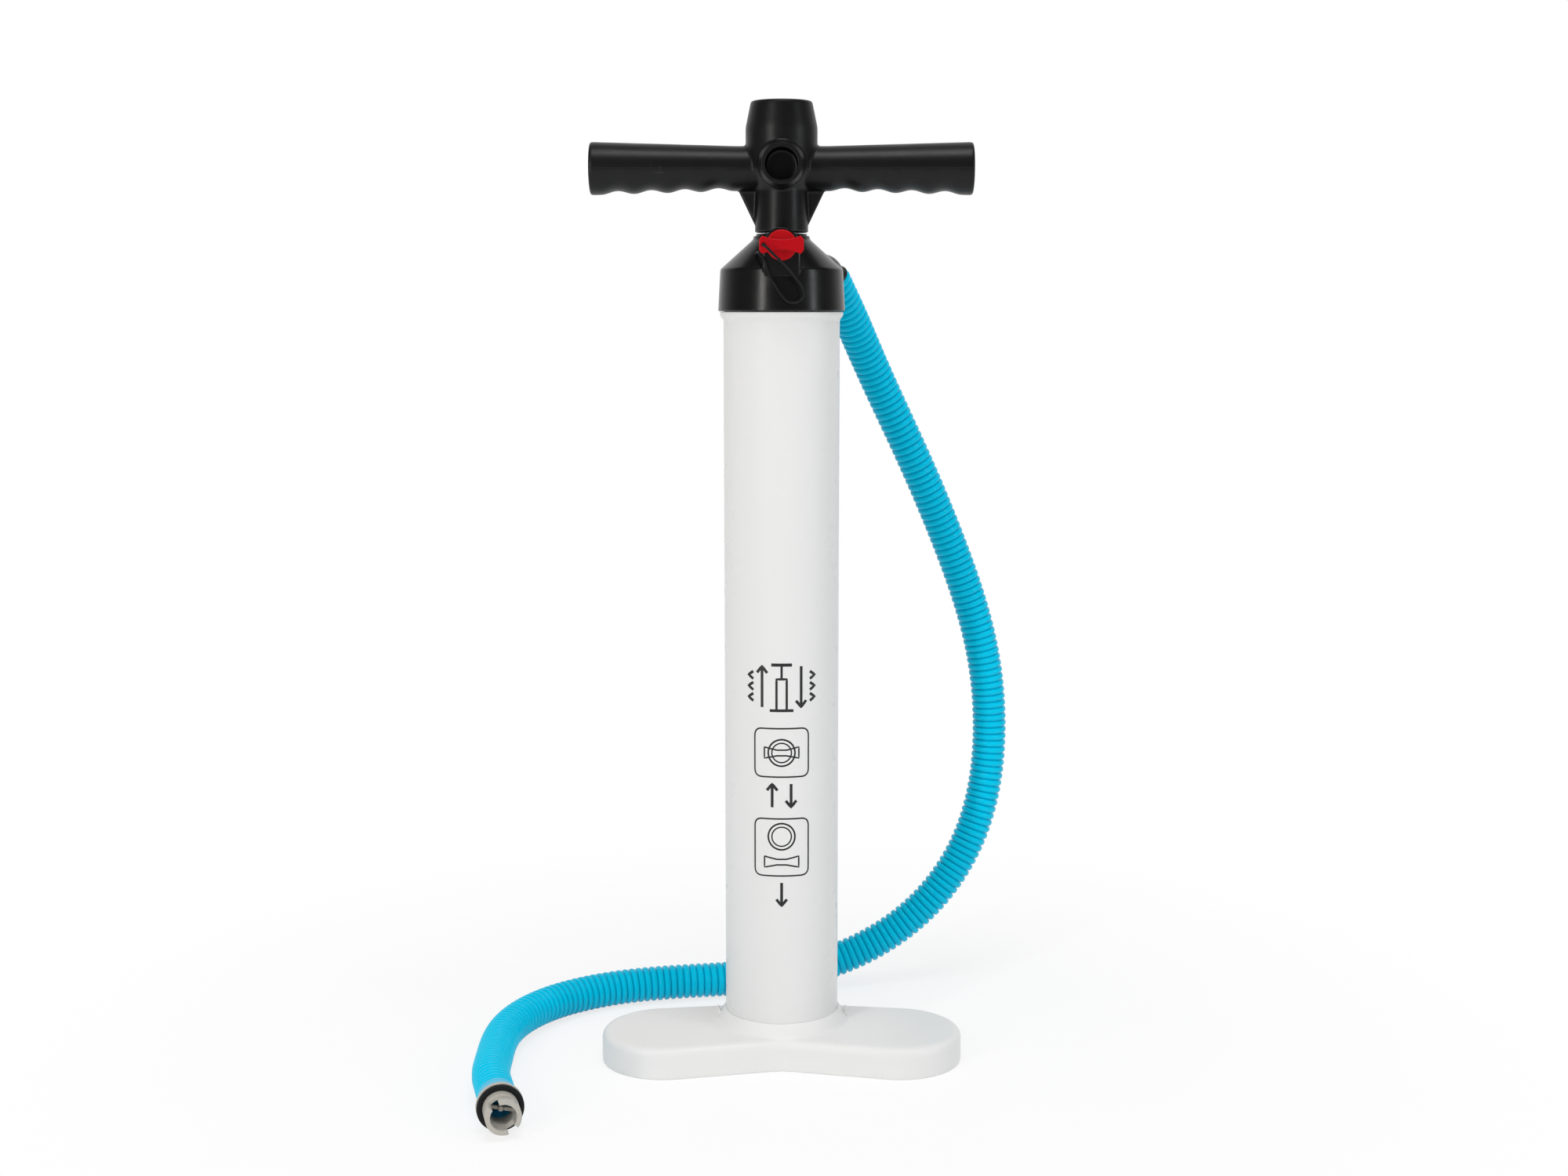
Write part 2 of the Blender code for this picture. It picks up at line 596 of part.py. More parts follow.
def build_foot(white):
    """Model the foot: lobed shell, collar with two ears, socket for the barrel and ribs below."""
    foot = make_object("foot_base", foot_block(), white, smooth_angle=40.0)
    collar_top = FOOT_HEIGHT + COLLAR_HEIGHT
    collar = [(0.0, collar_top), (SOCKET_RADIUS + COLLAR_LIP, collar_top), (COLLAR_FOOT_RADIUS, FOOT_HEIGHT),
              (COLLAR_FOOT_RADIUS, SOCKET_FLOOR), (0.0, SOCKET_FLOOR)]
    combine(foot, foot_cavity())
    combine(foot, make_cutter("foot_collar", turned(collar, FINE)), "UNION")
    for side in (-1, 1):
        ear_back = COLLAR_FOOT_RADIUS - COLLAR_EAR_DEPTH
        ear_foot = FOOT_HEIGHT - COLLAR_EAR_ROOT
        ear = [(ear_back, ear_foot), (COLLAR_FOOT_RADIUS, ear_foot),
               (COLLAR_FOOT_RADIUS, FOOT_HEIGHT + COLLAR_EAR_RISE), (ear_back, FOOT_HEIGHT + GAP)]
        bm = prism(ear, -COLLAR_EAR_WIDTH / 2, COLLAR_EAR_WIDTH / 2)
        bmesh.ops.rotate(bm, verts=bm.verts, matrix=Matrix.Rotation(math.pi / 2, 3, "X"))
        if side < 0:
            bmesh.ops.rotate(bm, verts=bm.verts, matrix=Matrix.Rotation(math.pi, 3, "Z"))
        combine(foot, make_cutter("collar_ear", bm), "UNION")
    bore = cylinder((0, 0, SOCKET_FLOOR), (0, 0, collar_top * 2), SOCKET_RADIUS, FINE)
    combine(foot, make_cutter("foot_socket", bore))


def build_barrel(white):
    """Model the barrel: a tube with a lip below the cap and a neck that the cap screws on."""
    lip_foot = BARREL_SHOULDER - LIP_HEIGHT
    profile = [
        (NECK_RADIUS, NECK_TOP), (NECK_RADIUS, BARREL_SHOULDER), (LIP_RADIUS, BARREL_SHOULDER),
        (LIP_RADIUS, lip_foot), (BARREL_RADIUS, lip_foot - LIP_CHAMFER), (BARREL_RADIUS, SEAT_FOOT),
        (BARREL_BORE, SEAT_FOOT), (BARREL_BORE, NECK_TOP),
    ]
    make_object("barrel", turned(profile, FINE), white)


def build_cylinder(metal, white, rubber):
    """Model the pumping cylinder, the slotted seat below it and the seat's sealing ring."""
    tube = ring_profile(CYLINDER_BORE, CYLINDER_RADIUS, CYLINDER_FOOT, CYLINDER_TOP)
    make_object("inner_cylinder", turned(tube, FINE), metal)
    rim = BARREL_BORE - GAP
    groove = rim - SEAL_CORD - GAP
    seal_height = SEAT_FOOT + SEAL_HEIGHT
    groove_half = SEAL_CORD / 2 + GAP
    profile = [
        (0.0, SEAT_TOP), (CYLINDER_BORE - GAP, SEAT_TOP), (CYLINDER_BORE - GAP, SEAT_FACE), (rim, SEAT_FACE),
        (rim, seal_height + groove_half), (groove, seal_height + groove_half),
        (groove, seal_height - groove_half), (rim, seal_height - groove_half), (rim, SEAT_FOOT),
        (0.0, SEAT_FOOT),
    ]
    seat = make_object("cylinder_seat", turned(profile, MEDIUM), white)
    half = SEAT_SLOT_WIDTH / 2
    slots = []
    for index in range(SEAT_SLOT_COUNT):
        bm = box((CYLINDER_BORE - SEAT_SLOT_REACH, -half, SEAT_FACE - SEAT_SLOT_DEPTH),
                 (rim - SEAT_SLOT_EDGE, half, SEAT_TOP * 2))
        turn = Matrix.Rotation(math.tau * (index + 0.5) / SEAT_SLOT_COUNT, 3, "Z")
        bmesh.ops.rotate(bm, verts=bm.verts, matrix=turn)
        slots.append(bm)
    combine(seat, make_cutter("seat_slots", merged(slots)))
    cord = arc((rim - SEAL_CORD / 2, seal_height), SEAL_CORD / 2, 360.0, 60.0, 5)
    make_object("seat_seal", turned(cord, MEDIUM), rubber)


def build_piston(grey, rubber, white, red):
    """Model the piston with its intake ports, ring, wear band, floating intake disc and nut."""
    ring_top = PISTON_TOP - RING_TOP
    ring_foot = ring_top - RING_HEIGHT
    band_foot = PISTON_FOOT + BAND_FOOT
    band_top = band_foot + BAND_HEIGHT
    ring_groove = PISTON_RADIUS - RING_DEPTH
    band_groove = PISTON_RADIUS - BAND_DEPTH
    stem_hole = NUT_STEM_RADIUS + GAP
    intake_top = INTAKE_FOOT + INTAKE_HEIGHT
    profile = [
        (ROD_RADIUS + GAP, PISTON_TOP), (PISTON_RADIUS, PISTON_TOP), (PISTON_RADIUS, ring_top),
        (ring_groove, ring_top), (ring_groove, ring_foot), (PISTON_RADIUS, ring_foot),
        (PISTON_RADIUS, band_top), (band_groove, band_top), (band_groove, band_foot),
        (PISTON_RADIUS, band_foot), (PISTON_RADIUS, PISTON_FOOT), (stem_hole, PISTON_FOOT),
        (stem_hole, INTAKE_FOOT),
        (INTAKE_RADIUS, INTAKE_FOOT), (INTAKE_RADIUS, intake_top), (ROD_RADIUS + GAP, intake_top),
    ]
    piston = make_object("piston", turned(profile, MEDIUM), grey)
    ports = []
    port_ring = (stem_hole + INTAKE_RADIUS) / 2
    for index in range(INTAKE_PORT_COUNT):
        angle = math.tau * index / INTAKE_PORT_COUNT
        x, y = port_ring * math.cos(angle), port_ring * math.sin(angle)
        ports.append(cylinder((x, y, PISTON_FOOT - INTAKE_FLOOR), (x, y, intake_top - INTAKE_HEIGHT / 2),
                              INTAKE_PORT_RADIUS, SMALL))
    combine(piston, make_cutter("intake_ports", merged(ports)))
    wiping = CYLINDER_BORE - SLIDE_GAP
    ring = ring_profile(ring_groove + GAP, wiping, ring_foot + GAP, ring_top - GAP)
    make_object("piston_ring", turned(ring, MEDIUM), rubber)
    band = ring_profile(band_groove + GAP, wiping, band_foot + GAP, band_top - GAP)
    make_object("piston_wear_band", turned(band, MEDIUM), white)
    stem_top = INTAKE_FOOT - GAP
    stem_bore = NUT_STEM_RADIUS - ROD_WALL
    nut = [(NUT_STEM_RADIUS, stem_top), (NUT_STEM_RADIUS, NUT_FOOT + NUT_FLANGE),
           (NUT_FLANGE_RADIUS, NUT_FOOT + NUT_FLANGE), (NUT_FLANGE_RADIUS, NUT_FOOT), (stem_bore, NUT_FOOT),
           (stem_bore, stem_top)]
    make_object("piston_nut", turned(nut, MEDIUM), grey)
    lift = make_axis("intake_disc_lift", (0, 0, VALVE_FOOT))
    disc = ring_profile(NUT_STEM_RADIUS + SLIDE_GAP, VALVE_RADIUS, VALVE_FOOT, VALVE_FOOT + VALVE_THICKNESS)
    make_object("intake_disc", turned(disc, MEDIUM), red, lift)


def flap(low, start_angle):
    """Return a sector-shaped valve flap."""
    outline = arc((0, 0), FLAP_OUTER, start_angle, start_angle + FLAP_SPAN, 12)
    outline += arc((0, 0), FLAP_INNER, start_angle + FLAP_SPAN, start_angle, 12)
    return prism(outline, low, low + FLAP_THICKNESS)


def build_head(white, rubber):
    """Model the ported plate over the cylinder with its inlet and outlet flaps."""
    rim = BARREL_BORE - GAP
    spigot = CYLINDER_BORE - GAP
    spigot_bore = spigot - PLATE_SPIGOT_WALL
    top = PLATE_FOOT + PLATE_THICKNESS
    low = PLATE_FOOT - PLATE_SPIGOT
    profile = [
        (ROD_PASSAGE, top), (rim, top), (rim, PLATE_FOOT), (spigot, PLATE_FOOT), (spigot, low),
        (spigot_bore, low), (spigot_bore, PLATE_FOOT), (ROD_PASSAGE, PLATE_FOOT),
    ]
    plate = make_object("valve_plate", turned(profile, MEDIUM), white)
    ports = []
    for middle in (90.0, 270.0):
        for step in (-1, 0, 1):
            angle = math.radians(middle + step * PORT_STEP)
            x, y = PORT_RING * math.cos(angle), PORT_RING * math.sin(angle)
            ports.append(cylinder((x, y, PLATE_FOOT - PLATE_THICKNESS), (x, y, top + PLATE_THICKNESS),
                                  PORT_RADIUS, SMALL))
    combine(plate, make_cutter("head_ports", merged(ports)))
    make_object("outlet_flap", flap(top + GAP, 90.0 - FLAP_SPAN / 2), rubber)
    make_object("inlet_flap", flap(PLATE_FOOT - GAP - FLAP_THICKNESS, 270.0 - FLAP_SPAN / 2), rubber)


def cap_wall_plane(bm, way):
    """Trim a boss along a slope that lies inside the cap's conical wall.

    way is the outward direction of the boss in plan.
    """
    normal = Vector((way.x * CONE_SLOPE, way.y * CONE_SLOPE, 1.0)).normalized()
    point = way * SKIRT_TOP_RADIUS + Vector((0.0, 0.0, SKIRT_TOP - CAP_WALL * 3 / 4))
    bmesh.ops.bisect_plane(bm, geom=bm.verts[:] + bm.edges[:] + bm.faces[:], plane_co=point,
                           plane_no=normal, clear_inner=True)
    bmesh.ops.holes_fill(bm, edges=[edge for edge in bm.edges if edge.is_boundary])
    bmesh.ops.recalc_face_normals(bm, faces=bm.faces)
    return bm


def cap_profile():
    """Return the cap's turned outline: skirt, cone, neck and the sleeve that holds the bush."""
    seat = NECK_TOP + GASKET_THICKNESS + GAP * 2
    drop = CAP_WALL * math.hypot(1.0, CONE_SLOPE)
    sleeve = SLEEVE_BORE + SLEEVE_WALL
    sleeve_foot = CAP_TOP - SLEEVE_LENGTH
    sleeve_root = sleeve + CAP_SLEEVE_STEP

    def under_cone(radius):
        """Return the height of the cone's inner face at a radius."""
        return SKIRT_TOP + (SKIRT_TOP_RADIUS - radius) * CONE_SLOPE - drop

    keeper_seat = CAP_TOP - KEEPER_HEIGHT - GAP
    keeper_hole = KEEPER_RADIUS + GAP
    rounding = CAP_SHOULDER_ROUND
    profile = [
        (keeper_hole, CAP_TOP), (CAP_NECK_RADIUS - rounding, CAP_TOP), (CAP_NECK_RADIUS, CAP_TOP - rounding),
        (CAP_NECK_RADIUS, CONE_TOP), (SKIRT_TOP_RADIUS - rounding, SKIRT_TOP + rounding * CONE_SLOPE),
        (SKIRT_TOP_RADIUS, SKIRT_TOP - rounding), (SKIRT_FOOT_RADIUS, SKIRT_FOOT), (SKIRT_BORE, SKIRT_FOOT),
        (SKIRT_BORE, seat), (BARREL_BORE, seat), (BARREL_BORE, max(seat, under_cone(BARREL_BORE))),
        (sleeve_root, under_cone(sleeve_root)), (sleeve, under_cone(sleeve_root)), (sleeve, sleeve_foot),
        (SLEEVE_BORE, sleeve_foot), (SLEEVE_BORE, keeper_seat), (keeper_hole, keeper_seat),
    ]
    return [point for index, point in enumerate(profile) if point != profile[index - 1]]


def build_cap(black):
    """Model the cap with the arched plug boss at its front and the hose boss at its back."""
    cap = make_object("top_cap", turned(cap_profile(), FINE), black)
    front = Vector((0.0, -1.0, 0.0))
    arch = arc((0.0, PORT_HEIGHT), PORT_BOSS_RADIUS, 0.0, 180.0, SMALL)
    arch += [(-PORT_BOSS_RADIUS, SKIRT_FOOT), (PORT_BOSS_RADIUS, SKIRT_FOOT)]
    boss = prism(arch, PORT_BOSS_BACK, PORT_BOSS_FRONT)
    bmesh.ops.rotate(boss, verts=boss.verts, matrix=Matrix.Rotation(math.pi / 2, 3, "X"))
    combine(cap, make_cutter("port_boss", cap_wall_plane(boss, front)), "UNION")
    way, port = hose_port()
    wall = SKIRT_BORE + GAP
    lower = cylinder(port + way * wall, port + way * HOSE_BOSS_FACE, HOSE_BOSS_RADIUS, COARSE)
    upper = cylinder(port + way * KEEPER_RADIUS, port + way * (wall + CAP_WALL), HOSE_BOSS_RADIUS - GAP,
                     COARSE)
    combine(cap, make_cutter("hose_boss", lower), "UNION")
    combine(cap, make_cutter("hose_boss_root", cap_wall_plane(upper, way)), "UNION")
    bore_end = PORT_BOSS_FRONT - PORT_BORE_DEPTH
    bore = cylinder((0, -PORT_BOSS_FRONT * 2, PORT_HEIGHT), (0, -bore_end, PORT_HEIGHT), PORT_BORE_RADIUS,
                    COARSE)
    combine(cap, make_cutter("plug_port", bore))
    vent_y = VENT_SETBACK - PORT_BOSS_FRONT
    vent_foot = NECK_TOP + GASKET_THICKNESS * 2
    vent = cylinder((0, vent_y, vent_foot), (0, vent_y, PORT_HEIGHT), VENT_RADIUS, SMALL)
    combine(cap, make_cutter("plug_vent", vent))
    inlet = cylinder(port + way * (BARREL_BORE - CAP_WALL * 2), port + way * HOSE_BOSS_FACE * 2,
                     HOSE_HOLE_RADIUS, COARSE)
    combine(cap, make_cutter("hose_hole", inlet))


def build_cap_fittings(rubber, white, black):
    """Model the cap's gasket, and the bush, wiper seal and keeper round the rod."""
    low = NECK_TOP + GAP
    gasket = ring_profile(BARREL_BORE + GAP, NECK_RADIUS - GAP, low, low + GASKET_THICKNESS)
    make_object("cap_gasket", turned(gasket, FINE), rubber)
    sleeve_foot = CAP_TOP - SLEEVE_LENGTH
    keeper_foot = CAP_TOP - KEEPER_HEIGHT
    wiper_top = keeper_foot - GAP
    wiper_foot = wiper_top - WIPER_HEIGHT
    flange_top = sleeve_foot - GAP
    flange = BUSH_RADIUS + BUSH_FLANGE_REACH
    bush_foot = flange_top - BUSH_FLANGE
    bush = [(BUSH_RADIUS, wiper_foot - GAP), (BUSH_RADIUS, flange_top), (flange, flange_top),
            (flange, bush_foot), (ROD_HOLE, bush_foot), (ROD_HOLE, wiper_foot - GAP)]
    make_object("rod_guide_bush", turned(bush, MEDIUM), white)
    wiper = ring_profile(ROD_HOLE, BUSH_RADIUS, wiper_foot, wiper_top)
    make_object("rod_seal", turned(wiper, MEDIUM), rubber)
    keeper_flange = CAP_NECK_RADIUS - KEEPER_FLANGE_SETBACK
    keeper_rise = CAP_TOP + GAP
    keeper_top = keeper_rise + KEEPER_FLANGE
    keeper = [(keeper_flange, keeper_top), (keeper_flange, keeper_rise), (KEEPER_RADIUS, keeper_rise),
              (KEEPER_RADIUS, keeper_foot), (ROD_PASSAGE, keeper_foot), (ROD_PASSAGE, keeper_top)]
    make_object("seal_keeper", turned(keeper, MEDIUM), black)


def wing_outline():
    """Return the plug wing's bow-tie outline, swept in to a waist."""
    rise = WING_END_HALF - WING_WAIST_HALF
    half = WING_HALF - WING_CORNER
    flat = WING_END_HALF * WING_END_FLAT
    steps = 8
    edge = []
    for step in range(steps + 1):
        x = half - 2.0 * half * step / steps
        edge.append((x, WING_WAIST_HALF + rise * (x / half) ** 2))
    right = [(WING_HALF, -flat), (WING_HALF, flat)]
    left = [(-x, -y) for x, y in right]
    return right + edge + left + [(-x, -y) for x, y in edge]


def build_plug(red, rubber):
    """Model the winged plug, turned and drawn about its own axis, and the gasket behind its disc."""
    turn = make_axis("plug_axis", (0, -PORT_BOSS_FRONT, PORT_HEIGHT))
    face_on = Matrix.Translation(turn.location) @ Matrix.Rotation(math.pi / 2, 4, "X")
    stub = PORT_BORE_RADIUS - SLIDE_GAP
    gasket_top = PLUG_GASKET_FOOT + PLUG_GASKET_THICKNESS
    gasket = turned(ring_profile(stub + GAP, PLUG_GASKET_RADIUS, PLUG_GASKET_FOOT, gasket_top), MEDIUM)
    gasket.transform(face_on)
    make_object("plug_gasket", gasket, rubber, turn)
    stub_end = PLUG_DISC_FOOT - PLUG_STUB_LENGTH
    body = turned([(0.0, PLUG_DISC_TOP), (PLUG_GASKET_RADIUS, PLUG_DISC_TOP),
                   (PLUG_DISC_RADIUS, PLUG_DISC_TOP - PLUG_DISC_EDGE), (PLUG_DISC_RADIUS, PLUG_DISC_FOOT),
                   (stub, PLUG_DISC_FOOT), (stub, stub_end), (0.0, stub_end)], MEDIUM)
    body.transform(face_on)
    plug = make_object("mode_plug", body, red, turn)
    wing = prism(wing_outline(), PLUG_DISC_FOOT + PLUG_DISC_EDGE, PLUG_DISC_TOP + WING_THICKNESS)
    wing.transform(face_on)
    combine(plug, make_cutter("plug_wing", wing), "UNION")
    hole_end = PLUG_DISC_TOP + WING_THICKNESS * 2
    hole = cylinder((WING_HOLE_X, 0, 0), (WING_HOLE_X, 0, hole_end), WING_HOLE_RADIUS, SMALL)
    hole.transform(face_on)
    combine(plug, make_cutter("tether_hole", hole))


def build_tether(black):
    """Model the thin cord that keeps the plug on the cap."""
    wing_face = PORT_BOSS_FRONT + PLUG_DISC_TOP + WING_THICKNESS + GAP
    start = Vector((WING_HOLE_X, -wing_face, PORT_HEIGHT))
    points = [start] + [Vector(point) / 1000.0 for point in TETHER_ROUTE] + [TETHER_END]
    samples = spline_through(points, (0, -1, 0), TETHER_END_WAY)
    line, length = even_points(samples, TETHER_SPACING)
    print(f"tether length {length:.4f} m")
    make_object("tether", tube_mesh(line, [TETHER_RADIUS] * len(line), 1), black)


def hose_port():
    """Return the hose port's outward direction and the point where its axis meets the barrel's."""
    angle = math.radians(HOSE_AZIMUTH)
    return Vector((math.sin(angle), math.cos(angle), 0.0)), Vector((0.0, 0.0, HOSE_PORT_HEIGHT))


def elbow_line():
    """Return the elbow's inner face, the stations along its bend and its last direction."""
    way, port = hose_port()
    swing = math.radians(ELBOW_SWING)
    down = Vector((0, 0, -1)) * math.cos(swing) + Vector((way.y, -way.x, 0)) * math.sin(swing)
    face = port + way * (HOSE_BOSS_FACE + GAP)
    bend_start = face + way * ELBOW_LEAD
    stations = []
    steps = 5
    for step in range(steps + 1):
        angle = math.radians(ELBOW_DROP * step / steps)
        turned_way = way * math.sin(angle) + down * (1.0 - math.cos(angle))
        stations.append(bend_start + turned_way * ELBOW_BEND)
    drop = math.radians(ELBOW_DROP)
    last = way * math.cos(drop) + down * math.sin(drop)
    return face, stations, last


def build_elbow(black):
    """Model the elbow that carries the hose down from the cap, with a collar and a barb."""
    way, _ = hose_port()
    face, bend, last = elbow_line()
    step = ELBOW_TAIL
    hair = GAP / 20
    collar = bend[-1] + last * ELBOW_TAIL
    line = [face - way * ELBOW_NIPPLE_LENGTH, face - way * hair, face, face + way * ELBOW_FLANGE,
            face + way * (ELBOW_FLANGE + hair)]
    radii = [ELBOW_NIPPLE_RADIUS, ELBOW_NIPPLE_RADIUS, HOSE_BOSS_RADIUS, HOSE_BOSS_RADIUS, ELBOW_RADIUS]
    line += bend + [collar, collar + last * hair, collar + last * step, collar + last * (step + hair)]
    radii += [ELBOW_RADIUS] * (len(bend) + 1) + [HOSE_BOSS_RADIUS, HOSE_BOSS_RADIUS, BARB_RADIUS]
    line += [collar + last * (step + BARB_LENGTH)]
    radii += [BARB_RADIUS]
    elbow = make_object("hose_elbow", tube_mesh(line, radii, 3), black)
    bore_line = [face - way * ELBOW_NIPPLE_LENGTH * 2] + bend + [collar + last * (step + BARB_LENGTH * 2)]
    bore = tube_mesh(bore_line, [ELBOW_RADIUS - ELBOW_WALL] * len(bore_line), 2)
    combine(elbow, make_cutter("elbow_bore", bore))
    return collar + last * step, last


def build_hose(blue, seat, way):
    """Model the ribbed hose from the elbow's collar to the sleeve at its end."""
    start = seat + way * GAP
    end = CONNECTOR_FACE - CONNECTOR_AXIS * (CUFF_LENGTH + GAP * 2)
    straight = HOSE_CREST_RADIUS * 2
    knots = [start + way * straight] + [Vector(point) / 1000.0 for point in HOSE_ROUTE]
    knots += [end - CONNECTOR_AXIS * straight]
    middle = spline_through(knots, way, CONNECTOR_AXIS)
    samples = np.concatenate([[start], middle, [end]])
    ribs, length = even_points(samples, HOSE_RIB_PITCH / 2)
    radii = [HOSE_CREST_RADIUS if index % 2 else HOSE_GROOVE_RADIUS for index in range(len(ribs))]
    hose = make_object("hose", tube_mesh(ribs, radii, 2), blue, smooth_angle=80.0)
    core, _ = even_points(samples, HOSE_CREST_RADIUS * 2)
    core[0] -= np.array(way) * HOSE_CREST_RADIUS
    core[-1] += np.array(CONNECTOR_AXIS) * HOSE_CREST_RADIUS
    combine(hose, make_cutter("hose_bore", tube_mesh(core, [HOSE_BORE_RADIUS] * len(core), 2)))
    print(f"hose length {length:.4f} m, ribs {len(ribs) // 2}")


def hooked_slot(first, low, high, inner, outer):
    """Return the form that cuts a slot from a spigot's tip, with a hook at its foot to one side.

    first is the angle of the slot's straight side; the outline is drawn flat and then wrapped round Z.
    """
    steps = 8
    hook = [(SLOT_HOOK_SPAN * step / steps, low) for step in range(steps + 1)]
    back = [(x, low + SLOT_HOOK_WIDTH) for x, _ in reversed(hook) if x > SLOT_MOUTH_SPAN]
    mouth = [(SLOT_MOUTH_SPAN, low + SLOT_HOOK_WIDTH), (SLOT_MOUTH_SPAN, high), (SLOT_MOUTH_SPAN / 2, high),
             (0.0, high)]
    bm = prism(hook + back + mouth, inner, outer)
    bmesh.ops.triangulate(bm, faces=bm.faces)
    for vert in bm.verts:
        angle = math.radians(first - vert.co.x)
        vert.co = (vert.co.z * math.cos(angle), vert.co.z * math.sin(angle), vert.co.y)
    bmesh.ops.recalc_face_normals(bm, faces=bm.faces)
    return bm


def build_connector(grey, rubber, blue):
    """Model the sleeve, the flanged spigot with two hooked slots, and the gasket on the spigot."""
    along = Vector((0, 0, 1)).rotation_difference(CONNECTOR_AXIS).to_matrix().to_4x4()
    place = Matrix.Translation(CONNECTOR_FACE) @ along
    cuff = turned(ring_profile(HOSE_BORE_RADIUS, CUFF_RADIUS, -CUFF_LENGTH - GAP, -GAP), MEDIUM)
    cuff.transform(place)
    make_object("hose_cuff", cuff, blue)
    bore = SPIGOT_RADIUS - SPIGOT_WALL
    barb_bore = BARB_RADIUS - SPIGOT_WALL / 2
    tip = FLANGE_THICKNESS + SPIGOT_LENGTH
    profile = [
        (bore, tip), (SPIGOT_RADIUS, tip), (SPIGOT_RADIUS, FLANGE_THICKNESS),
        (FLANGE_RADIUS, FLANGE_THICKNESS), (FLANGE_RADIUS, 0.0), (BARB_RADIUS, 0.0),
        (BARB_RADIUS, -BARB_LENGTH), (barb_bore, -BARB_LENGTH), (barb_bore, 0.0), (bore, FLANGE_THICKNESS),
    ]
    body = turned(profile, MEDIUM)
    body.transform(place)
    connector = make_object("hose_connector", body, grey)
    for half_turn in (0.0, 180.0):
        slot = hooked_slot(SLOT_START + half_turn, tip - SLOT_DEPTH, tip * 2, bore / 2, SPIGOT_RADIUS * 2)
        slot.transform(place)
        combine(connector, make_cutter("hooked_slot", slot))
    bar_foot = FLANGE_THICKNESS + CROSS_BAR_LIFT
    bar = box((-bore - GAP, -CROSS_BAR / 2, bar_foot), (bore + GAP, CROSS_BAR / 2, bar_foot + CROSS_BAR))
    bar.transform(place)
    combine(connector, make_cutter("cross_bar", bar), "UNION")
    seal_foot = FLANGE_THICKNESS + GAP
    ring = ring_profile(SPIGOT_RADIUS + GAP, SEAL_RING_RADIUS, seal_foot, seal_foot + SEAL_RING_THICKNESS)
    seal = turned(ring, MEDIUM)
    seal.transform(place)
    make_object("connector_gasket", seal, rubber)


def grip_bar():
    """Loft both grips as one bar along X, flared to its ends, with finger grooves below."""
    sides = COARSE
    lead = FINGER_FIRST - FINGER_PITCH / 2
    last = lead + FINGER_COUNT * FINGER_PITCH
    stations = [lead + FINGER_PITCH * step / 4 for step in range(4 * FINGER_COUNT + 1)] + [GRIP_HALF_LENGTH]
    bm = bmesh.new()
    rings = []
    for x in [-value for value in reversed(stations)] + stations:
        reach = abs(x)
        share = (reach - HEAD_RADIUS) / (GRIP_HALF_LENGTH - HEAD_RADIUS)
        radius = GRIP_ROOT_RADIUS + (GRIP_END_RADIUS - GRIP_ROOT_RADIUS) * max(0.0, share)
        dip = 0.0
        if lead <= reach <= last:
            dip = FINGER_DEPTH * 0.5 * (1.0 - math.cos(math.tau * (reach - lead) / FINGER_PITCH))
        ring = []
        for side in range(sides):
            angle = math.tau * side / sides
            local = radius - dip * max(0.0, -math.cos(angle)) ** 1.5
            ring.append(bm.verts.new((x, local * math.sin(angle), GRIP_HEIGHT + local * math.cos(angle))))
        edges = [bm.edges.new((ring[side - 1], ring[side])) for side in range(sides)]
        if rings:
            bmesh.ops.bridge_loops(bm, edges=rings[-1] + edges)
        else:
            bm.faces.new(ring)
        rings.append(edges)
    bm.faces.new(ring)
    bmesh.ops.recalc_face_normals(bm, faces=bm.faces)
    return bm


def handle_parts():
    """Return the solids that join into the handle beside the grip bar."""
    shoulder = HANDLE_FOOT + HEAD_SHOULDER_RISE
    hub = turned([(0.0, HANDLE_TOP), (HEAD_TOP_RADIUS - HANDLE_EDGE, HANDLE_TOP),
                  (HEAD_TOP_RADIUS, HANDLE_TOP - HANDLE_EDGE), (HEAD_RADIUS, shoulder),
                  (HEAD_RADIUS, HANDLE_FOOT + HEAD_RISE),
                  (HANDLE_WAIST_RADIUS, HANDLE_FOOT + HANDLE_WAIST_RISE),
                  (HANDLE_FOOT_RADIUS, HANDLE_FOOT + HANDLE_EDGE),
                  (HANDLE_FOOT_RADIUS - HANDLE_EDGE, HANDLE_FOOT), (0.0, HANDLE_FOOT)], FINE)
    boss = cylinder((0, 0, FRONT_BOSS_HEIGHT), (0, -FRONT_BOSS_REACH, FRONT_BOSS_HEIGHT), FRONT_BOSS_RADIUS,
                    MEDIUM, FRONT_RIM_RADIUS)
    parts = [("handle_hub", hub), ("front_boss", boss)]
    foot = HANDLE_FOOT + GUSSET_FOOT_RISE
    for side in (-1, 1):
        outline = [(side * HANDLE_WAIST_RADIUS / 2, foot), (side * GUSSET_FOOT_RADIUS, foot),
                   (side * GUSSET_TOP_RADIUS, GRIP_HEIGHT - GUSSET_TOP_DROP),
                   (side * GUSSET_TOP_RADIUS, GRIP_HEIGHT), (side * HANDLE_WAIST_RADIUS / 2, GRIP_HEIGHT)]
        rib = prism(outline, -GUSSET_THICKNESS / 2, GUSSET_THICKNESS / 2)
        bmesh.ops.rotate(rib, verts=rib.verts, matrix=Matrix.Rotation(math.pi / 2, 3, "X"))
        parts.append(("handle_gusset", rib))
    return parts


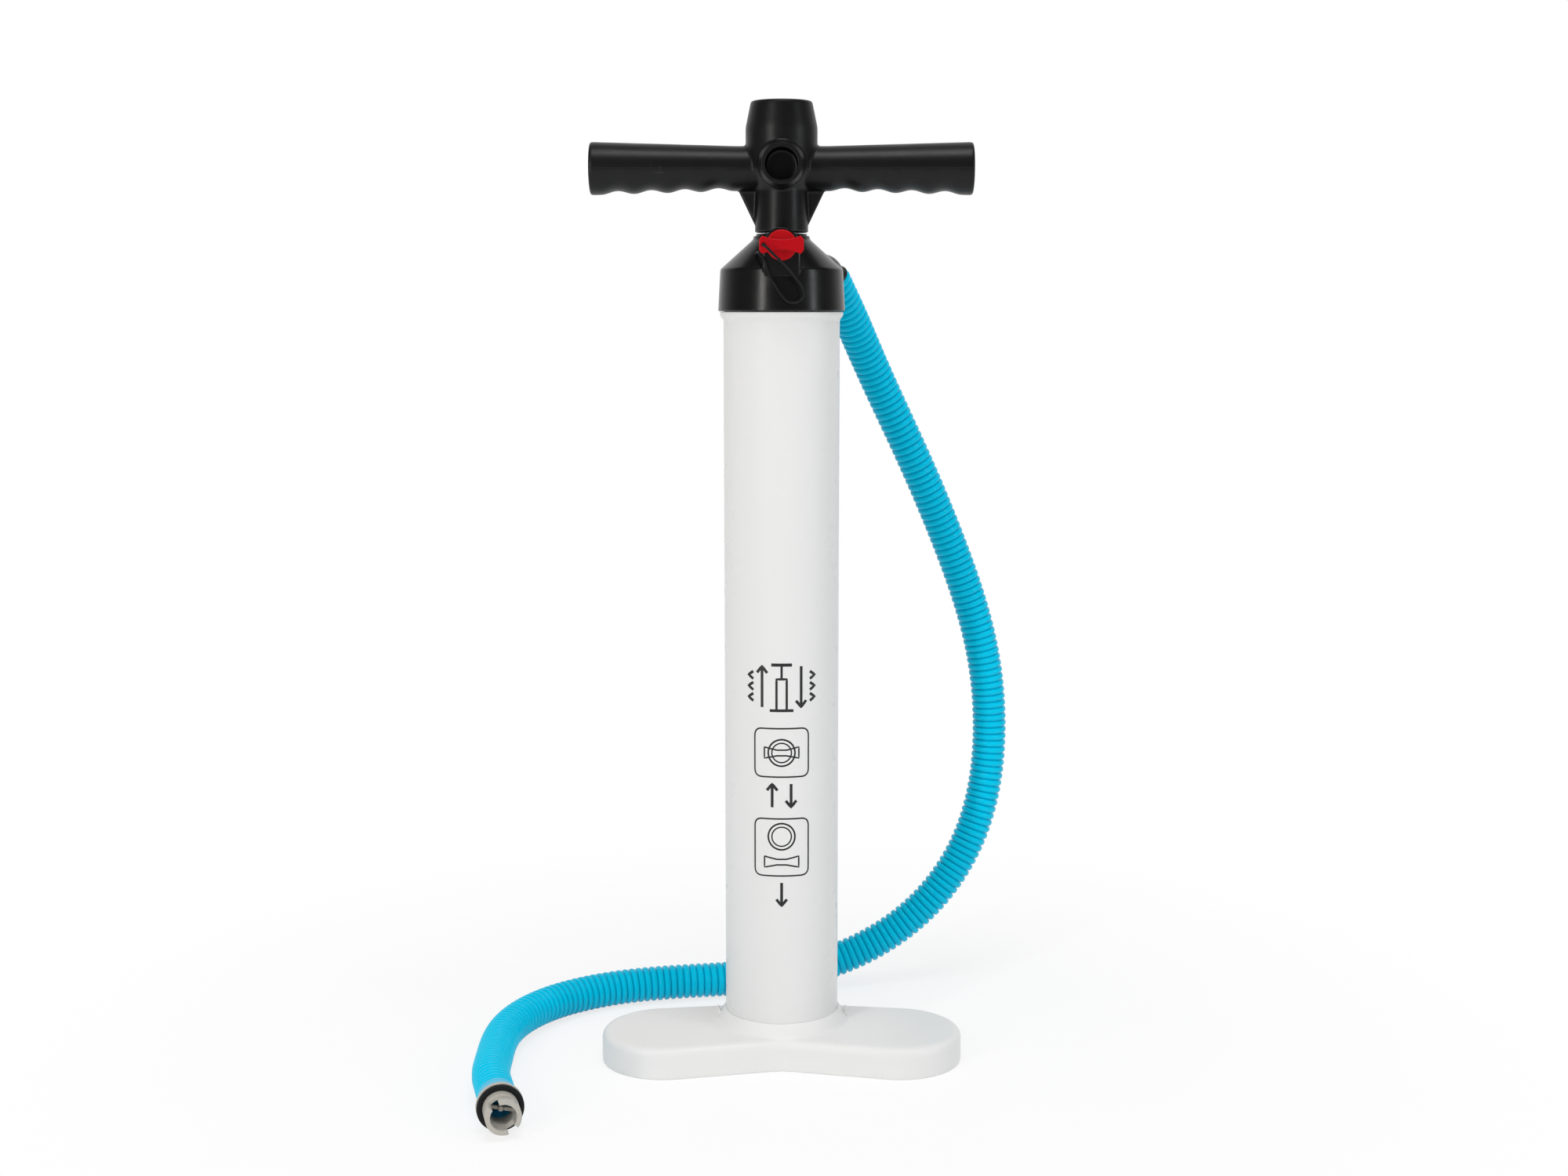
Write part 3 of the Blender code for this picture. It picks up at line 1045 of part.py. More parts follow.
def handle_bores():
    """Return the hollows of the handle: sockets, grip ends, rod socket and screw hole."""
    blind = FRONT_HOLE_DEPTH - FRONT_BOSS_REACH
    bores = [
        cylinder((0, 0, HANDLE_TOP - HEAD_SOCKET_DEPTH), (0, 0, HANDLE_TOP * 2), HEAD_SOCKET_RADIUS, MEDIUM),
        cylinder((0, -FRONT_BOSS_REACH * 2, FRONT_BOSS_HEIGHT), (0, blind, FRONT_BOSS_HEIGHT),
                 FRONT_HOLE_RADIUS, COARSE),
        cylinder((0, 0, HANDLE_FOOT / 2), (0, 0, HANDLE_FOOT + ROD_SOCKET_DEPTH), ROD_RADIUS + GAP, MEDIUM),
        cylinder((0, -ROD_RADIUS - SCREW_RADIUS, SCREW_HEIGHT),
                 (0, SCREW_SEAT + SCREW_HEAD_HEIGHT / 2, SCREW_HEIGHT), SCREW_RADIUS + GAP, SMALL),
        cylinder((0, SCREW_SEAT, SCREW_HEIGHT), (0, SCREW_SEAT * 2, SCREW_HEIGHT), SCREW_HEAD_RADIUS + GAP,
                 COARSE),
    ]
    floor = GRIP_HALF_LENGTH - GRIP_BORE_DEPTH
    mouth = GRIP_HALF_LENGTH + GAP
    for side in (-1, 1):
        bores.append(cylinder((side * floor, 0, GRIP_HEIGHT), (side * mouth, 0, GRIP_HEIGHT),
                              GRIP_BORE_RADIUS * GRIP_BORE_DRAFT, COARSE, GRIP_BORE_RADIUS))
    return bores


def build_handle(black, metal, steel, rubber):
    """Model the T handle, the hollow rod, the screw that joins them and the bumper on the rod."""
    swivel = make_axis("handle_axis", (0, 0, HANDLE_FOOT))
    handle = make_object("handle", grip_bar(), black, swivel, smooth_angle=40.0)
    for name, part in handle_parts():
        combine(handle, make_cutter(name, part), "UNION")
    for bore in handle_bores():
        combine(handle, make_cutter("handle_bore", bore))
    tube = ring_profile(ROD_BORE, ROD_RADIUS, ROD_FOOT, ROD_TOP)
    rod = make_object("piston_rod", turned(tube, MEDIUM), metal, swivel)
    through = ROD_RADIUS * 2
    cross = cylinder((0, -through, SCREW_HEIGHT), (0, through, SCREW_HEIGHT), SCREW_RADIUS + GAP, SMALL)
    combine(rod, make_cutter("rod_cross_hole", cross))
    seat = SCREW_SEAT + GAP
    length = seat + ROD_RADIUS
    profile = [(0.0, SCREW_HEAD_HEIGHT), (SCREW_HEAD_RADIUS - SCREW_HEAD_EDGE, SCREW_HEAD_HEIGHT),
               (SCREW_HEAD_RADIUS, SCREW_HEAD_HEIGHT - SCREW_HEAD_EDGE), (SCREW_HEAD_RADIUS, 0.0),
               (SCREW_RADIUS, 0.0), (SCREW_RADIUS, -length), (0.0, -length)]
    screw = turned(profile, COARSE)
    screw.transform(Matrix.Translation((0, seat, SCREW_HEIGHT)) @ Matrix.Rotation(-math.pi / 2, 4, "X"))
    make_object("handle_screw", screw, steel, swivel)
    low = PISTON_TOP + GAP
    bumper = ring_profile(ROD_RADIUS + GAP, ROD_RADIUS + BUMPER_WALL, low, low + BUMPER_HEIGHT)
    make_object("stroke_bumper", turned(bumper, MEDIUM), rubber, swivel)


def main():
    """Build every piece of the pump."""
    clear_scene()
    black = make_material("black_plastic", (0.016, 0.016, 0.017), 0.45)
    white = make_material("white_plastic", (0.78, 0.78, 0.78), 0.30)
    blue = make_material("hose_blue", (0.0, 0.41, 0.67), 0.35)
    red = make_material("plug_red", (0.58, 0.006, 0.012), 0.35)
    grey = make_material("nozzle_grey", (0.43, 0.41, 0.36), 0.40)
    rubber = make_material("rubber", (0.012, 0.013, 0.015), 0.65)
    metal = make_material("aluminium", (0.70, 0.71, 0.72), 0.30, 1.0)
    steel = make_material("steel", (0.55, 0.56, 0.57), 0.32, 1.0)
    build_foot(white)
    build_barrel(white)
    build_cylinder(metal, white, rubber)
    build_piston(grey, rubber, white, red)
    build_head(white, rubber)
    build_cap(black)
    build_cap_fittings(rubber, white, black)
    build_plug(red, rubber)
    build_tether(black)
    seat, way = build_elbow(black)
    build_hose(blue, seat, way)
    build_connector(grey, rubber, blue)
    build_handle(black, metal, steel, rubber)


main()
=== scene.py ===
"""Dresses the double action hand pump: finished meshes, procedural finishes, studio and camera.

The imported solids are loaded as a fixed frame. The pieces that show are modelled again with soft
moulded edges, fine ribs and printed marks, and the hidden works keep their solids with a finish.
Lengths are in metres.
"""
import json
import logging
import math
from dataclasses import dataclass
from enum import Enum
from typing import Iterable, Optional, Sequence, Union

import bmesh
import bpy
import numpy as np
from mathutils import Matrix, Vector

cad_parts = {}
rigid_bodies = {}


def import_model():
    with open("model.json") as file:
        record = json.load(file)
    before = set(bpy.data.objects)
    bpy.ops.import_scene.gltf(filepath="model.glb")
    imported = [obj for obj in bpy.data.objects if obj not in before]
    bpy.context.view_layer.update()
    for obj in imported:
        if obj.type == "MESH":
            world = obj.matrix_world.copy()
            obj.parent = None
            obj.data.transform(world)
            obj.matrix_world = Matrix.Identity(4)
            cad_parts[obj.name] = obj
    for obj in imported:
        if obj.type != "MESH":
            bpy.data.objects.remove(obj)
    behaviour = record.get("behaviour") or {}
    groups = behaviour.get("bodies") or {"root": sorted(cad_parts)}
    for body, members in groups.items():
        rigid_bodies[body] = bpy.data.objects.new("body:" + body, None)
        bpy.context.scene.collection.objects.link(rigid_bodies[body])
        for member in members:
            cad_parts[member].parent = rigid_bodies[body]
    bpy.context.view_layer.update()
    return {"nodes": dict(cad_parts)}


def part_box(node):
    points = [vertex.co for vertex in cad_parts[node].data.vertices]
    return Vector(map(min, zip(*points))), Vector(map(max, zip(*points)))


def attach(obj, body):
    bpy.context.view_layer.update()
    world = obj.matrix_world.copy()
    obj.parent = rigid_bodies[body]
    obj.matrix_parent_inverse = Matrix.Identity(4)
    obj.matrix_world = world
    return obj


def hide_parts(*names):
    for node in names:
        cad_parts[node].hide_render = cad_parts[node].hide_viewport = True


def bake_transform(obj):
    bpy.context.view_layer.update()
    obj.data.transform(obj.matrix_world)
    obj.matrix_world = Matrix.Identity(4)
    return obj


for leftover in list(bpy.data.objects):
    bpy.data.objects.remove(leftover, do_unlink=True)
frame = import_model()

logging.basicConfig(level=logging.INFO, format="%(message)s")
LOG = logging.getLogger("pump")

Point = tuple[float, float]
Corner = tuple[float, float, float]
Colour = tuple[float, float, float]
Place = tuple[float, float, float]
Socket = bpy.types.NodeSocket
Form = bmesh.types.BMesh
Object = bpy.types.Object

GAP = 0.0003
CRISP = 50.0    # degrees between faces past which a turned piece keeps its edge


class Body(str, Enum):
    """The moving bodies that pieces ride on."""

    PUMP = "pump_body"
    PISTON = "piston_set"
    VALVE = "intake_valve"
    HANDLE = "handle_set"
    PLUG_SEAL = "plug_seal"
    PLUG = "plug"


class Step(str, Enum):
    """What a solid does to the form it meets."""

    JOIN = "UNION"
    CUT = "DIFFERENCE"


# Shapes


def rounded(corners: Sequence[Corner], steps: int = 5) -> list[Point]:
    """Round the corners of a closed outline.

    Args:
        corners: x, y and rounding of each corner in order; the rounding is how far from the corner
            the curve starts, and 0 keeps the corner sharp.
        steps: Spans along each rounding.

    Returns:
        The outline's points.
    """
    points: list[Point] = []
    for index, (x, y, reach) in enumerate(corners):
        here = Vector((x, y))
        if reach <= 0.0:
            points.append((x, y))
            continue
        back = Vector(corners[index - 1][:2]) - here
        ahead = Vector(corners[(index + 1) % len(corners)][:2]) - here
        reach = min(reach, back.length * 0.49, ahead.length * 0.49)
        first = here + back.normalized() * reach
        last = here + ahead.normalized() * reach
        for step in range(steps + 1):
            share = step / steps
            point = first.lerp(here, share).lerp(here.lerp(last, share), share)
            points.append((point.x, point.y))
    return points


def arc(centre: Point, radius: float, first: float, last: float, steps: int) -> list[Point]:
    """Lay points on an arc.

    Args:
        centre: Middle of the arc.
        radius: Its radius.
        first: Angle of the first point, in degrees.
        last: Angle of the last point, in degrees.
        steps: Spans between them.

    Returns:
        The points in order.
    """
    angles = [math.radians(first + (last - first) * step / steps) for step in range(steps + 1)]
    return [(centre[0] + radius * math.cos(a), centre[1] + radius * math.sin(a)) for a in angles]


def spun(profile: Sequence[Point], segments: int, place: Matrix = Matrix()) -> Form:
    """Spin an outline of radius and height about Z into a closed body.

    Args:
        profile: Points of the closed outline, as (radius, height).
        segments: Steps round the axis.
        place: Where the body goes.

    Returns:
        The body.
    """
    bm = bmesh.new()
    verts = [bm.verts.new((radius, 0.0, height)) for radius, height in profile]
    edges = [bm.edges.new(pair) for pair in zip(verts, verts[1:] + verts[:1])
             if pair[0].co.x > 1e-9 or pair[1].co.x > 1e-9]
    bmesh.ops.spin(bm, geom=verts + edges, cent=(0, 0, 0), axis=(0, 0, 1), angle=math.tau,
                   steps=segments, use_merge=True)
    bmesh.ops.remove_doubles(bm, verts=bm.verts, dist=1e-7)
    bmesh.ops.recalc_face_normals(bm, faces=bm.faces)
    bm.transform(place)
    return bm


def extruded(outline: Sequence[Point], low: float, high: float, place: Matrix = Matrix()) -> Form:
    """Extrude a flat outline along Z.

    Args:
        outline: Points of the outline.
        low: Height of one end.
        high: Height of the other end.
        place: Where the body goes.

    Returns:
        The body.
    """
    bm = bmesh.new()
    face = bm.faces.new([bm.verts.new((x, y, low)) for x, y in outline])
    grown = bmesh.ops.extrude_face_region(bm, geom=[face])
    lifted = [item for item in grown["geom"] if isinstance(item, bmesh.types.BMVert)]
    bmesh.ops.translate(bm, verts=lifted, vec=(0, 0, high - low))
    bmesh.ops.recalc_face_normals(bm, faces=bm.faces)
    bm.transform(place)
    return bm


def block(low: Sequence[float], high: Sequence[float]) -> Form:
    """Return a box between two corners."""
    size = Vector(high) - Vector(low)
    bm = bmesh.new()
    bmesh.ops.create_cube(bm, size=1.0)
    bmesh.ops.scale(bm, vec=size, verts=bm.verts)
    bmesh.ops.translate(bm, vec=Vector(low) + size / 2, verts=bm.verts)
    return bm


def bar(start: Sequence[float], end: Sequence[float], radius: float, segments: int = 48,
        end_radius: Optional[float] = None) -> Form:
    """Return a round bar or cone between two points.

    Args:
        start: Middle of the first end.
        end: Middle of the second end.
        radius: Radius at the first end.
        segments: Sides.
        end_radius: Radius at the second end, if it differs.

    Returns:
        The bar, its sides turned a quarter step so that they meet no other bar's.
    """
    along = Vector(end) - Vector(start)
    turn = Vector((0, 0, 1)).rotation_difference(along).to_matrix().to_4x4()
    turn = turn @ Matrix.Rotation(math.pi / segments / 2, 4, "Z")
    bm = bmesh.new()
    bmesh.ops.create_cone(bm, cap_ends=True, segments=segments, radius1=radius,
                          radius2=radius if end_radius is None else end_radius, depth=along.length,
                          matrix=Matrix.Translation(Vector(start) + along / 2) @ turn)
    return bm


def merged(parts: Iterable[Form]) -> Form:
    """Put several bodies into one bmesh.

    Args:
        parts: The bodies, which are freed.

    Returns:
        The bmesh that holds them all.
    """
    whole = bmesh.new()
    for part in parts:
        mesh = bpy.data.meshes.new("part")
        part.to_mesh(mesh)
        part.free()
        whole.from_mesh(mesh)
        bpy.data.meshes.remove(mesh)
    return whole


def placed(name: str, data: bpy.types.ID) -> Object:
    """Return a new object in the scene.

    Args:
        name: The object's name.
        data: The mesh, curve, lamp or camera that it holds.

    Returns:
        The object.
    """
    obj = bpy.data.objects.new(name, data)
    bpy.context.scene.collection.objects.link(obj)
    return obj


def scratch(bm: Form) -> Object:
    """Return a passing object that holds a bmesh, which is freed."""
    mesh = bpy.data.meshes.new("scratch")
    bm.to_mesh(mesh)
    bm.free()
    return placed("scratch", mesh)


def taken(obj: Object, others: Sequence[Object] = ()) -> Form:
    """Evaluate a passing object and remove it.

    Args:
        obj: Object whose modifiers are applied.
        others: Objects that the modifiers used, removed as well.

    Returns:
        The finished form.
    """
    graph = bpy.context.evaluated_depsgraph_get()
    mesh = bpy.data.meshes.new_from_object(obj.evaluated_get(graph))
    for item in (obj, *others):
        data = item.data
        bpy.data.objects.remove(item, do_unlink=True)
        (bpy.data.curves if isinstance(data, bpy.types.Curve) else bpy.data.meshes).remove(data)
    bm = bmesh.new()
    bm.from_mesh(mesh)
    bpy.data.meshes.remove(mesh)
    return bm


def combined(base: Form, steps: Sequence[tuple[Step, Form]]) -> Form:
    """Join solids to a form and cut others out of it, in order.

    Args:
        base: The form that the work starts from.
        steps: What each solid does, and the solid.

    Returns:
        The combined form.
    """
    body = scratch(base)
    tools = []
    for step, solid in steps:
        tool = scratch(solid)
        tool.hide_render = True
        modifier = body.modifiers.new("step", "BOOLEAN")
        modifier.operation = step.value
        modifier.solver = "EXACT"
        modifier.object = tool
        tools.append(tool)
    return taken(body, tools)


def softened(bm: Form, voxel: float, passes: int) -> Form:
    """Give a form the soft edges and fillets of a moulding.

    Args:
        bm: The sharp form.
        voxel: Size of the even skin's faces.
        passes: How often the skin is smoothed.

    Returns:
        The soft form.
    """
    body = scratch(bm)
    skin = body.modifiers.new("skin", "REMESH")
    skin.mode = "VOXEL"
    skin.voxel_size = voxel
    skin.use_smooth_shade = True
    soft = taken(body)
    for _ in range(passes):
        bmesh.ops.smooth_vert(soft, verts=soft.verts, factor=0.5, use_axis_x=True, use_axis_y=True,
                              use_axis_z=True)
    return soft


def tube(points: Sequence[Sequence[float]], radii: Sequence[float], resolution: int,
         capped: bool = True) -> Form:
    """Sweep a round section of changing radius along points.

    Args:
        points: Points of the centreline.
        radii: Radius at each of them.
        resolution: Fineness of the section.
        capped: Whether the ends are closed.

    Returns:
        The tube.
    """
    curve = bpy.data.curves.new("tube", "CURVE")
    curve.dimensions = "3D"
    curve.bevel_depth = 1.0
    curve.bevel_resolution = resolution
    curve.use_fill_caps = capped
    line = curve.splines.new("POLY")
    line.points.add(len(points) - 1)
    for knot, point, radius in zip(line.points, points, radii):
        knot.co = (*point, 1.0)
        knot.radius = radius
    bm = taken(placed("tube", curve))
    bmesh.ops.remove_doubles(bm, verts=bm.verts, dist=1e-7)
    bmesh.ops.recalc_face_normals(bm, faces=bm.faces)
    return bm


def ring_profile(inner: float, outer: float, low: float, high: float, soft: float) -> list[Point]:
    """Return the outline of a ring whose four corners are rounded alike."""
    return rounded([(inner, low, soft), (outer, low, soft), (outer, high, soft), (inner, high, soft)])


def aimed(origin: Vector, axis: Vector) -> Matrix:
    """Return the placement that turns +Z to an axis and moves the origin to a point."""
    turn = Vector((0, 0, 1)).rotation_difference(axis).to_matrix().to_4x4()
    return Matrix.Translation(origin) @ turn


@dataclass(frozen=True)
class Route:
    """A smooth line through points, with set directions at its ends."""

    points: tuple[Vector, ...]
    start_way: Vector
    end_way: Vector

    def samples(self) -> np.ndarray:
        """Return close points along the line, 40 to a span."""
        knots = np.array(self.points, dtype=float)
        spans = np.linalg.norm(np.diff(knots, axis=0), axis=1)
        count = len(knots)
        system = np.eye(count)
        known = np.zeros((count, 3))
        known[0] = self.start_way
        known[-1] = self.end_way
        for i in range(1, count - 1):
            before, after = spans[i - 1], spans[i]
            system[i, i - 1:i + 2] = after, 2.0 * (before + after), before
            rise_before = after / before * (knots[i] - knots[i - 1])
            rise_after = before / after * (knots[i + 1] - knots[i])
            known[i] = 3.0 * (rise_before + rise_after)
        slopes = np.linalg.solve(system, known)
        line = []
        for i in range(count - 1):
            for t in np.linspace(0.0, 1.0, 40, endpoint=i == count - 2):
                line.append((2 * t**3 - 3 * t**2 + 1) * knots[i]
                            + (t**3 - 2 * t**2 + t) * spans[i] * slopes[i]
                            + (3 * t**2 - 2 * t**3) * knots[i + 1]
                            + (t**3 - t**2) * spans[i] * slopes[i + 1])
        return np.array(line)


def evenly(line: np.ndarray, count: int) -> tuple[np.ndarray, float]:
    """Space points evenly along a line.

    Args:
        line: Close points of the line.
        count: Spans between the even points.

    Returns:
        The even points, and the line's length.
    """
    run = np.concatenate([[0.0], np.cumsum(np.linalg.norm(np.diff(line, axis=0), axis=1))])
    stations = np.linspace(0.0, run[-1], count + 1)
    return np.stack([np.interp(stations, run, line[:, k]) for k in range(3)], axis=1), float(run[-1])


# Finishes


class Sketch:
    """Adds nodes to one node tree and links them."""

    def __init__(self, tree: bpy.types.NodeTree) -> None:
        """Start on a tree."""
        self.tree = tree

    def node(self, kind: str, inputs: Optional[dict] = None, **settings: object) -> bpy.types.Node:
        """Add a node.

        Args:
            kind: The node's type, without the leading ShaderNode.
            inputs: Socket name or number to a value, or to the socket that feeds it.
            settings: Attributes of the node.

        Returns:
            The node.
        """
        node = self.tree.nodes.new("ShaderNode" + kind)
        for key, value in settings.items():
            setattr(node, key, value)
        for key, value in (inputs or {}).items():
            if isinstance(value, Socket):
                self.tree.links.new(value, node.inputs[key])
            else:
                node.inputs[key].default_value = value
        return node

    def noise(self, coords: Socket, scale: Union[float, Socket], detail: float = 2.0,
              roughness: float = 0.5) -> Socket:
        """Return a noise from 0 to 1 about one half."""
        made = self.node("TexNoise", {"Vector": coords, "Scale": scale, "Detail": detail,
                                      "Roughness": roughness})
        return made.outputs["Fac"]

    def maths(self, operation: str, first: object, second: object = 0.0) -> Socket:
        """Return the result of a sum on two values."""
        return self.node("Math", {0: first, 1: second}, operation=operation).outputs[0]

    def ramp(self, value: Socket, low: float, high: float, start: float = 0.0, end: float = 1.0) -> Socket:
        """Return a value brought smoothly from one range to another, and held at its ends."""
        made = self.node("MapRange", {"Value": value, "From Min": low, "From Max": high, "To Min": start,
                                      "To Max": end}, interpolation_type="SMOOTHSTEP")
        return made.outputs["Result"]

    def attribute(self, name: str) -> Socket:
        """Return a value stored on the mesh."""
        return self.node("Attribute", attribute_name=name).outputs["Fac"]

    def mix(self, factor: object, first: object, second: object) -> Socket:
        """Return a colour mixed from two."""
        made = self.tree.nodes.new("ShaderNodeMix")
        made.data_type = "RGBA"
        for index, value in ((0, factor), (6, first), (7, second)):
            if isinstance(value, Socket):
                self.tree.links.new(value, made.inputs[index])
            else:
                made.inputs[index].default_value = value
        return made.outputs[2]


class Shared(str, Enum):
    """Node groups that several finishes use."""

    SKIN = "moulded_skin"
    MARKS = "handling_marks"


def group_tree(name: Shared, inputs: dict[str, str], outputs: dict[str, str]) -> bpy.types.NodeTree:
    """Start a shader node group.

    Args:
        name: Which group it is.
        inputs: Name of each input to its socket type.
        outputs: Name of each output to its socket type.

    Returns:
        The group's tree, with its sockets.
    """
    tree = bpy.data.node_groups.new(name.value, "ShaderNodeTree")
    for side, sockets in (("INPUT", inputs), ("OUTPUT", outputs)):
        for label, kind in sockets.items():
            tree.interface.new_socket(label, in_out=side, socket_type="NodeSocket" + kind)
    return tree


def skin_group() -> bpy.types.NodeTree:
    """Return the group for moulded plastic: soft colour drift, uneven gloss and a spark-eroded grain."""
    if Shared.SKIN.value in bpy.data.node_groups:
        return bpy.data.node_groups[Shared.SKIN.value]
    tree = group_tree(Shared.SKIN, {"Coords": "Vector", "Colour": "Color", "Drift": "Float",
                                    "Roughness": "Float", "Unevenness": "Float", "Grain Scale": "Float"},
                      {"Colour": "Color", "Roughness": "Float", "Grain": "Float"})
    sketch = Sketch(tree)
    given = tree.nodes.new("NodeGroupInput").outputs
    cloud = sketch.noise(given["Coords"], 24.0, 4.0)
    swing = sketch.maths("MULTIPLY", sketch.maths("SUBTRACT", cloud, 0.5), given["Drift"])
    tone = sketch.node("VectorMath", {0: given["Colour"], "Scale": sketch.maths("ADD", swing, 1.0)},
                       operation="SCALE").outputs["Vector"]
    gloss = sketch.maths("SUBTRACT", sketch.noise(given["Coords"], 85.0, 5.0, 0.6), 0.5)
    rough = sketch.maths("ADD", sketch.maths("MULTIPLY", gloss, given["Unevenness"]), given["Roughness"])
    coarse = sketch.noise(given["Coords"], given["Grain Scale"], 2.0, 0.65)
    fine = sketch.noise(given["Coords"], sketch.maths("MULTIPLY", given["Grain Scale"], 2.6), 1.0)
    grain = sketch.maths("ADD", sketch.maths("MULTIPLY", coarse, 0.7), sketch.maths("MULTIPLY", fine, 0.3))
    out = tree.nodes.new("NodeGroupOutput")
    tree.links.new(tone, out.inputs["Colour"])
    tree.links.new(rough, out.inputs["Roughness"])
    tree.links.new(grain, out.inputs["Grain"])
    return tree


def marks_group() -> bpy.types.NodeTree:
    """Return the group for handling: hair scratches, rubbed patches and small specks, as masks."""
    if Shared.MARKS.value in bpy.data.node_groups:
        return bpy.data.node_groups[Shared.MARKS.value]
    tree = group_tree(Shared.MARKS, {"Coords": "Vector"},
                      {"Scratches": "Float", "Rubs": "Float", "Specks": "Float"})
    sketch = Sketch(tree)
    coords = tree.nodes.new("NodeGroupInput").outputs["Coords"]
    lines = []
    for turn, stretch in (((0.2, 0.5, 0.9), (18.0, 420.0, 18.0)), ((1.1, 0.3, 0.2), (380.0, 14.0, 14.0))):
        laid = sketch.node("Mapping", {"Vector": coords, "Rotation": turn,
                                       "Scale": stretch}).outputs["Vector"]
        hair = sketch.maths("ABSOLUTE", sketch.maths("SUBTRACT", sketch.noise(laid, 1.0, 1.0), 0.5))
        lines.append(sketch.ramp(hair, 0.0, 0.006, 1.0, 0.0))
    where = sketch.ramp(sketch.noise(coords, 38.0, 2.0), 0.60, 0.72)
    scratches = sketch.maths("MULTIPLY", sketch.maths("MAXIMUM", lines[0], lines[1]), where)
    rubs = sketch.ramp(sketch.noise(coords, 46.0, 6.0, 0.62), 0.50, 0.74)
    cells = sketch.node("TexVoronoi", {"Vector": coords, "Scale": 150.0})
    dot = sketch.ramp(cells.outputs["Distance"], 0.05, 0.09, 1.0, 0.0)
    chosen = sketch.node("SeparateColor", {0: cells.outputs["Color"]}).outputs[0]
    specks = sketch.maths("MULTIPLY", dot, sketch.maths("GREATER_THAN", chosen, 0.955))
    out = tree.nodes.new("NodeGroupOutput")
    for label, value in (("Scratches", scratches), ("Rubs", rubs), ("Specks", specks)):
        tree.links.new(value, out.inputs[label])
    return tree


@dataclass(frozen=True)
class Finish:
    """A procedural finish of one material, read on Object coordinates."""

    name: str
    colour: Colour
    roughness: float
    drift: float = 0.10
    unevenness: float = 0.10
    grain_scale: float = 900.0
    grain_depth: float = 0.00004
    specular: float = 0.5
    metallic: float = 0.0
    rub_gloss: float = 0.0
    scratch_tone: float = 0.0
    speck_tone: float = 0.0

    def tone(self, sketch: Sketch, coords: Socket, colour: Socket) -> Socket:
        """Return the base colour from the skin's colour; a finish with a pattern adds it here."""
        return colour

    def relief(self, sketch: Sketch, coords: Socket, grain: Socket) -> Socket:
        """Return the surface height from the skin's grain; a finish with a relief adds it here."""
        return grain

    def material(self) -> bpy.types.Material:
        """Return the material, made once."""
        label = "finish_" + self.name
        if label in bpy.data.materials:
            return bpy.data.materials[label]
        material = bpy.data.materials.new(label)
        material.use_nodes = True
        tree = material.node_tree
        shader = tree.nodes["Principled BSDF"]
        sketch = Sketch(tree)
        coords = sketch.node("TexCoord").outputs["Object"]
        skin = sketch.node("Group", node_tree=skin_group())
        for label, value in (("Colour", (*self.colour, 1.0)), ("Drift", self.drift),
                             ("Roughness", self.roughness), ("Unevenness", self.unevenness),
                             ("Grain Scale", self.grain_scale)):
            skin.inputs[label].default_value = value
        tree.links.new(coords, skin.inputs["Coords"])
        colour = self.tone(sketch, coords, skin.outputs["Colour"])
        rough = skin.outputs["Roughness"]
        if self.rub_gloss or self.scratch_tone or self.speck_tone:
            marks = sketch.node("Group", {"Coords": coords}, node_tree=marks_group()).outputs
            rough = sketch.maths("ADD", rough, sketch.maths("MULTIPLY", marks["Rubs"], self.rub_gloss))
            pale = sketch.maths("MULTIPLY", marks["Scratches"], abs(self.scratch_tone))
            end = (0.45, 0.45, 0.45, 1.0) if self.scratch_tone > 0 else (0.05, 0.05, 0.05, 1.0)
            colour = sketch.mix(pale, colour, end)
            colour = sketch.mix(sketch.maths("MULTIPLY", marks["Specks"], self.speck_tone), colour,
                                (0.10, 0.085, 0.07, 1.0))
        bump = sketch.node("Bump", {"Height": self.relief(sketch, coords, skin.outputs["Grain"]),
                                    "Distance": self.grain_depth})
        tree.links.new(colour, shader.inputs["Base Color"])
        tree.links.new(rough, shader.inputs["Roughness"])
        tree.links.new(bump.outputs["Normal"], shader.inputs["Normal"])
        shader.inputs["Metallic"].default_value = self.metallic
        shader.inputs["Specular IOR Level"].default_value = self.specular
        return material


@dataclass(frozen=True)
class GripFinish(Finish):
    """Black plastic with the raised line that the two halves of the mould leave along the grips."""

    seam_height: float = 0.0
    seam_half: float = 0.00022
    seam_start: float = 0.026

    def relief(self, sketch: Sketch, coords: Socket, grain: Socket) -> Socket:
        """Return the grain with the parting line standing out of it."""
        place = sketch.node("SeparateXYZ", {0: coords}).outputs
        off = sketch.maths("ABSOLUTE", sketch.maths("SUBTRACT", place["Z"], self.seam_height))
        line = sketch.ramp(off, 0.0, self.seam_half * 2, 1.0, 0.0)
        along = sketch.ramp(sketch.maths("ABSOLUTE", place["X"]), self.seam_start, self.seam_start + 0.004)
        seam = sketch.maths("MULTIPLY", line, along)
        return sketch.maths("ADD", grain, sketch.maths("MULTIPLY", seam, 2.2))


@dataclass(frozen=True)
class GrooveShadeFinish(Finish):
    """Soft blue plastic with painted shade: a darker colour painted in its grooves and the paler base colour
    on its crests.
    """

    # groove is the darker colour painted into the grooves as shade
    groove: Colour = (0.0, 0.44, 0.71)
    attribute: str = "rib"

    def tone(self, sketch: Sketch, coords: Socket, colour: Socket) -> Socket:
        """Return the colour between the painted groove shade and the crest by the rib's height."""
        height = sketch.attribute(self.attribute)
        return sketch.mix(sketch.ramp(height, 0.0, 0.75), (*self.groove, 1.0), colour)


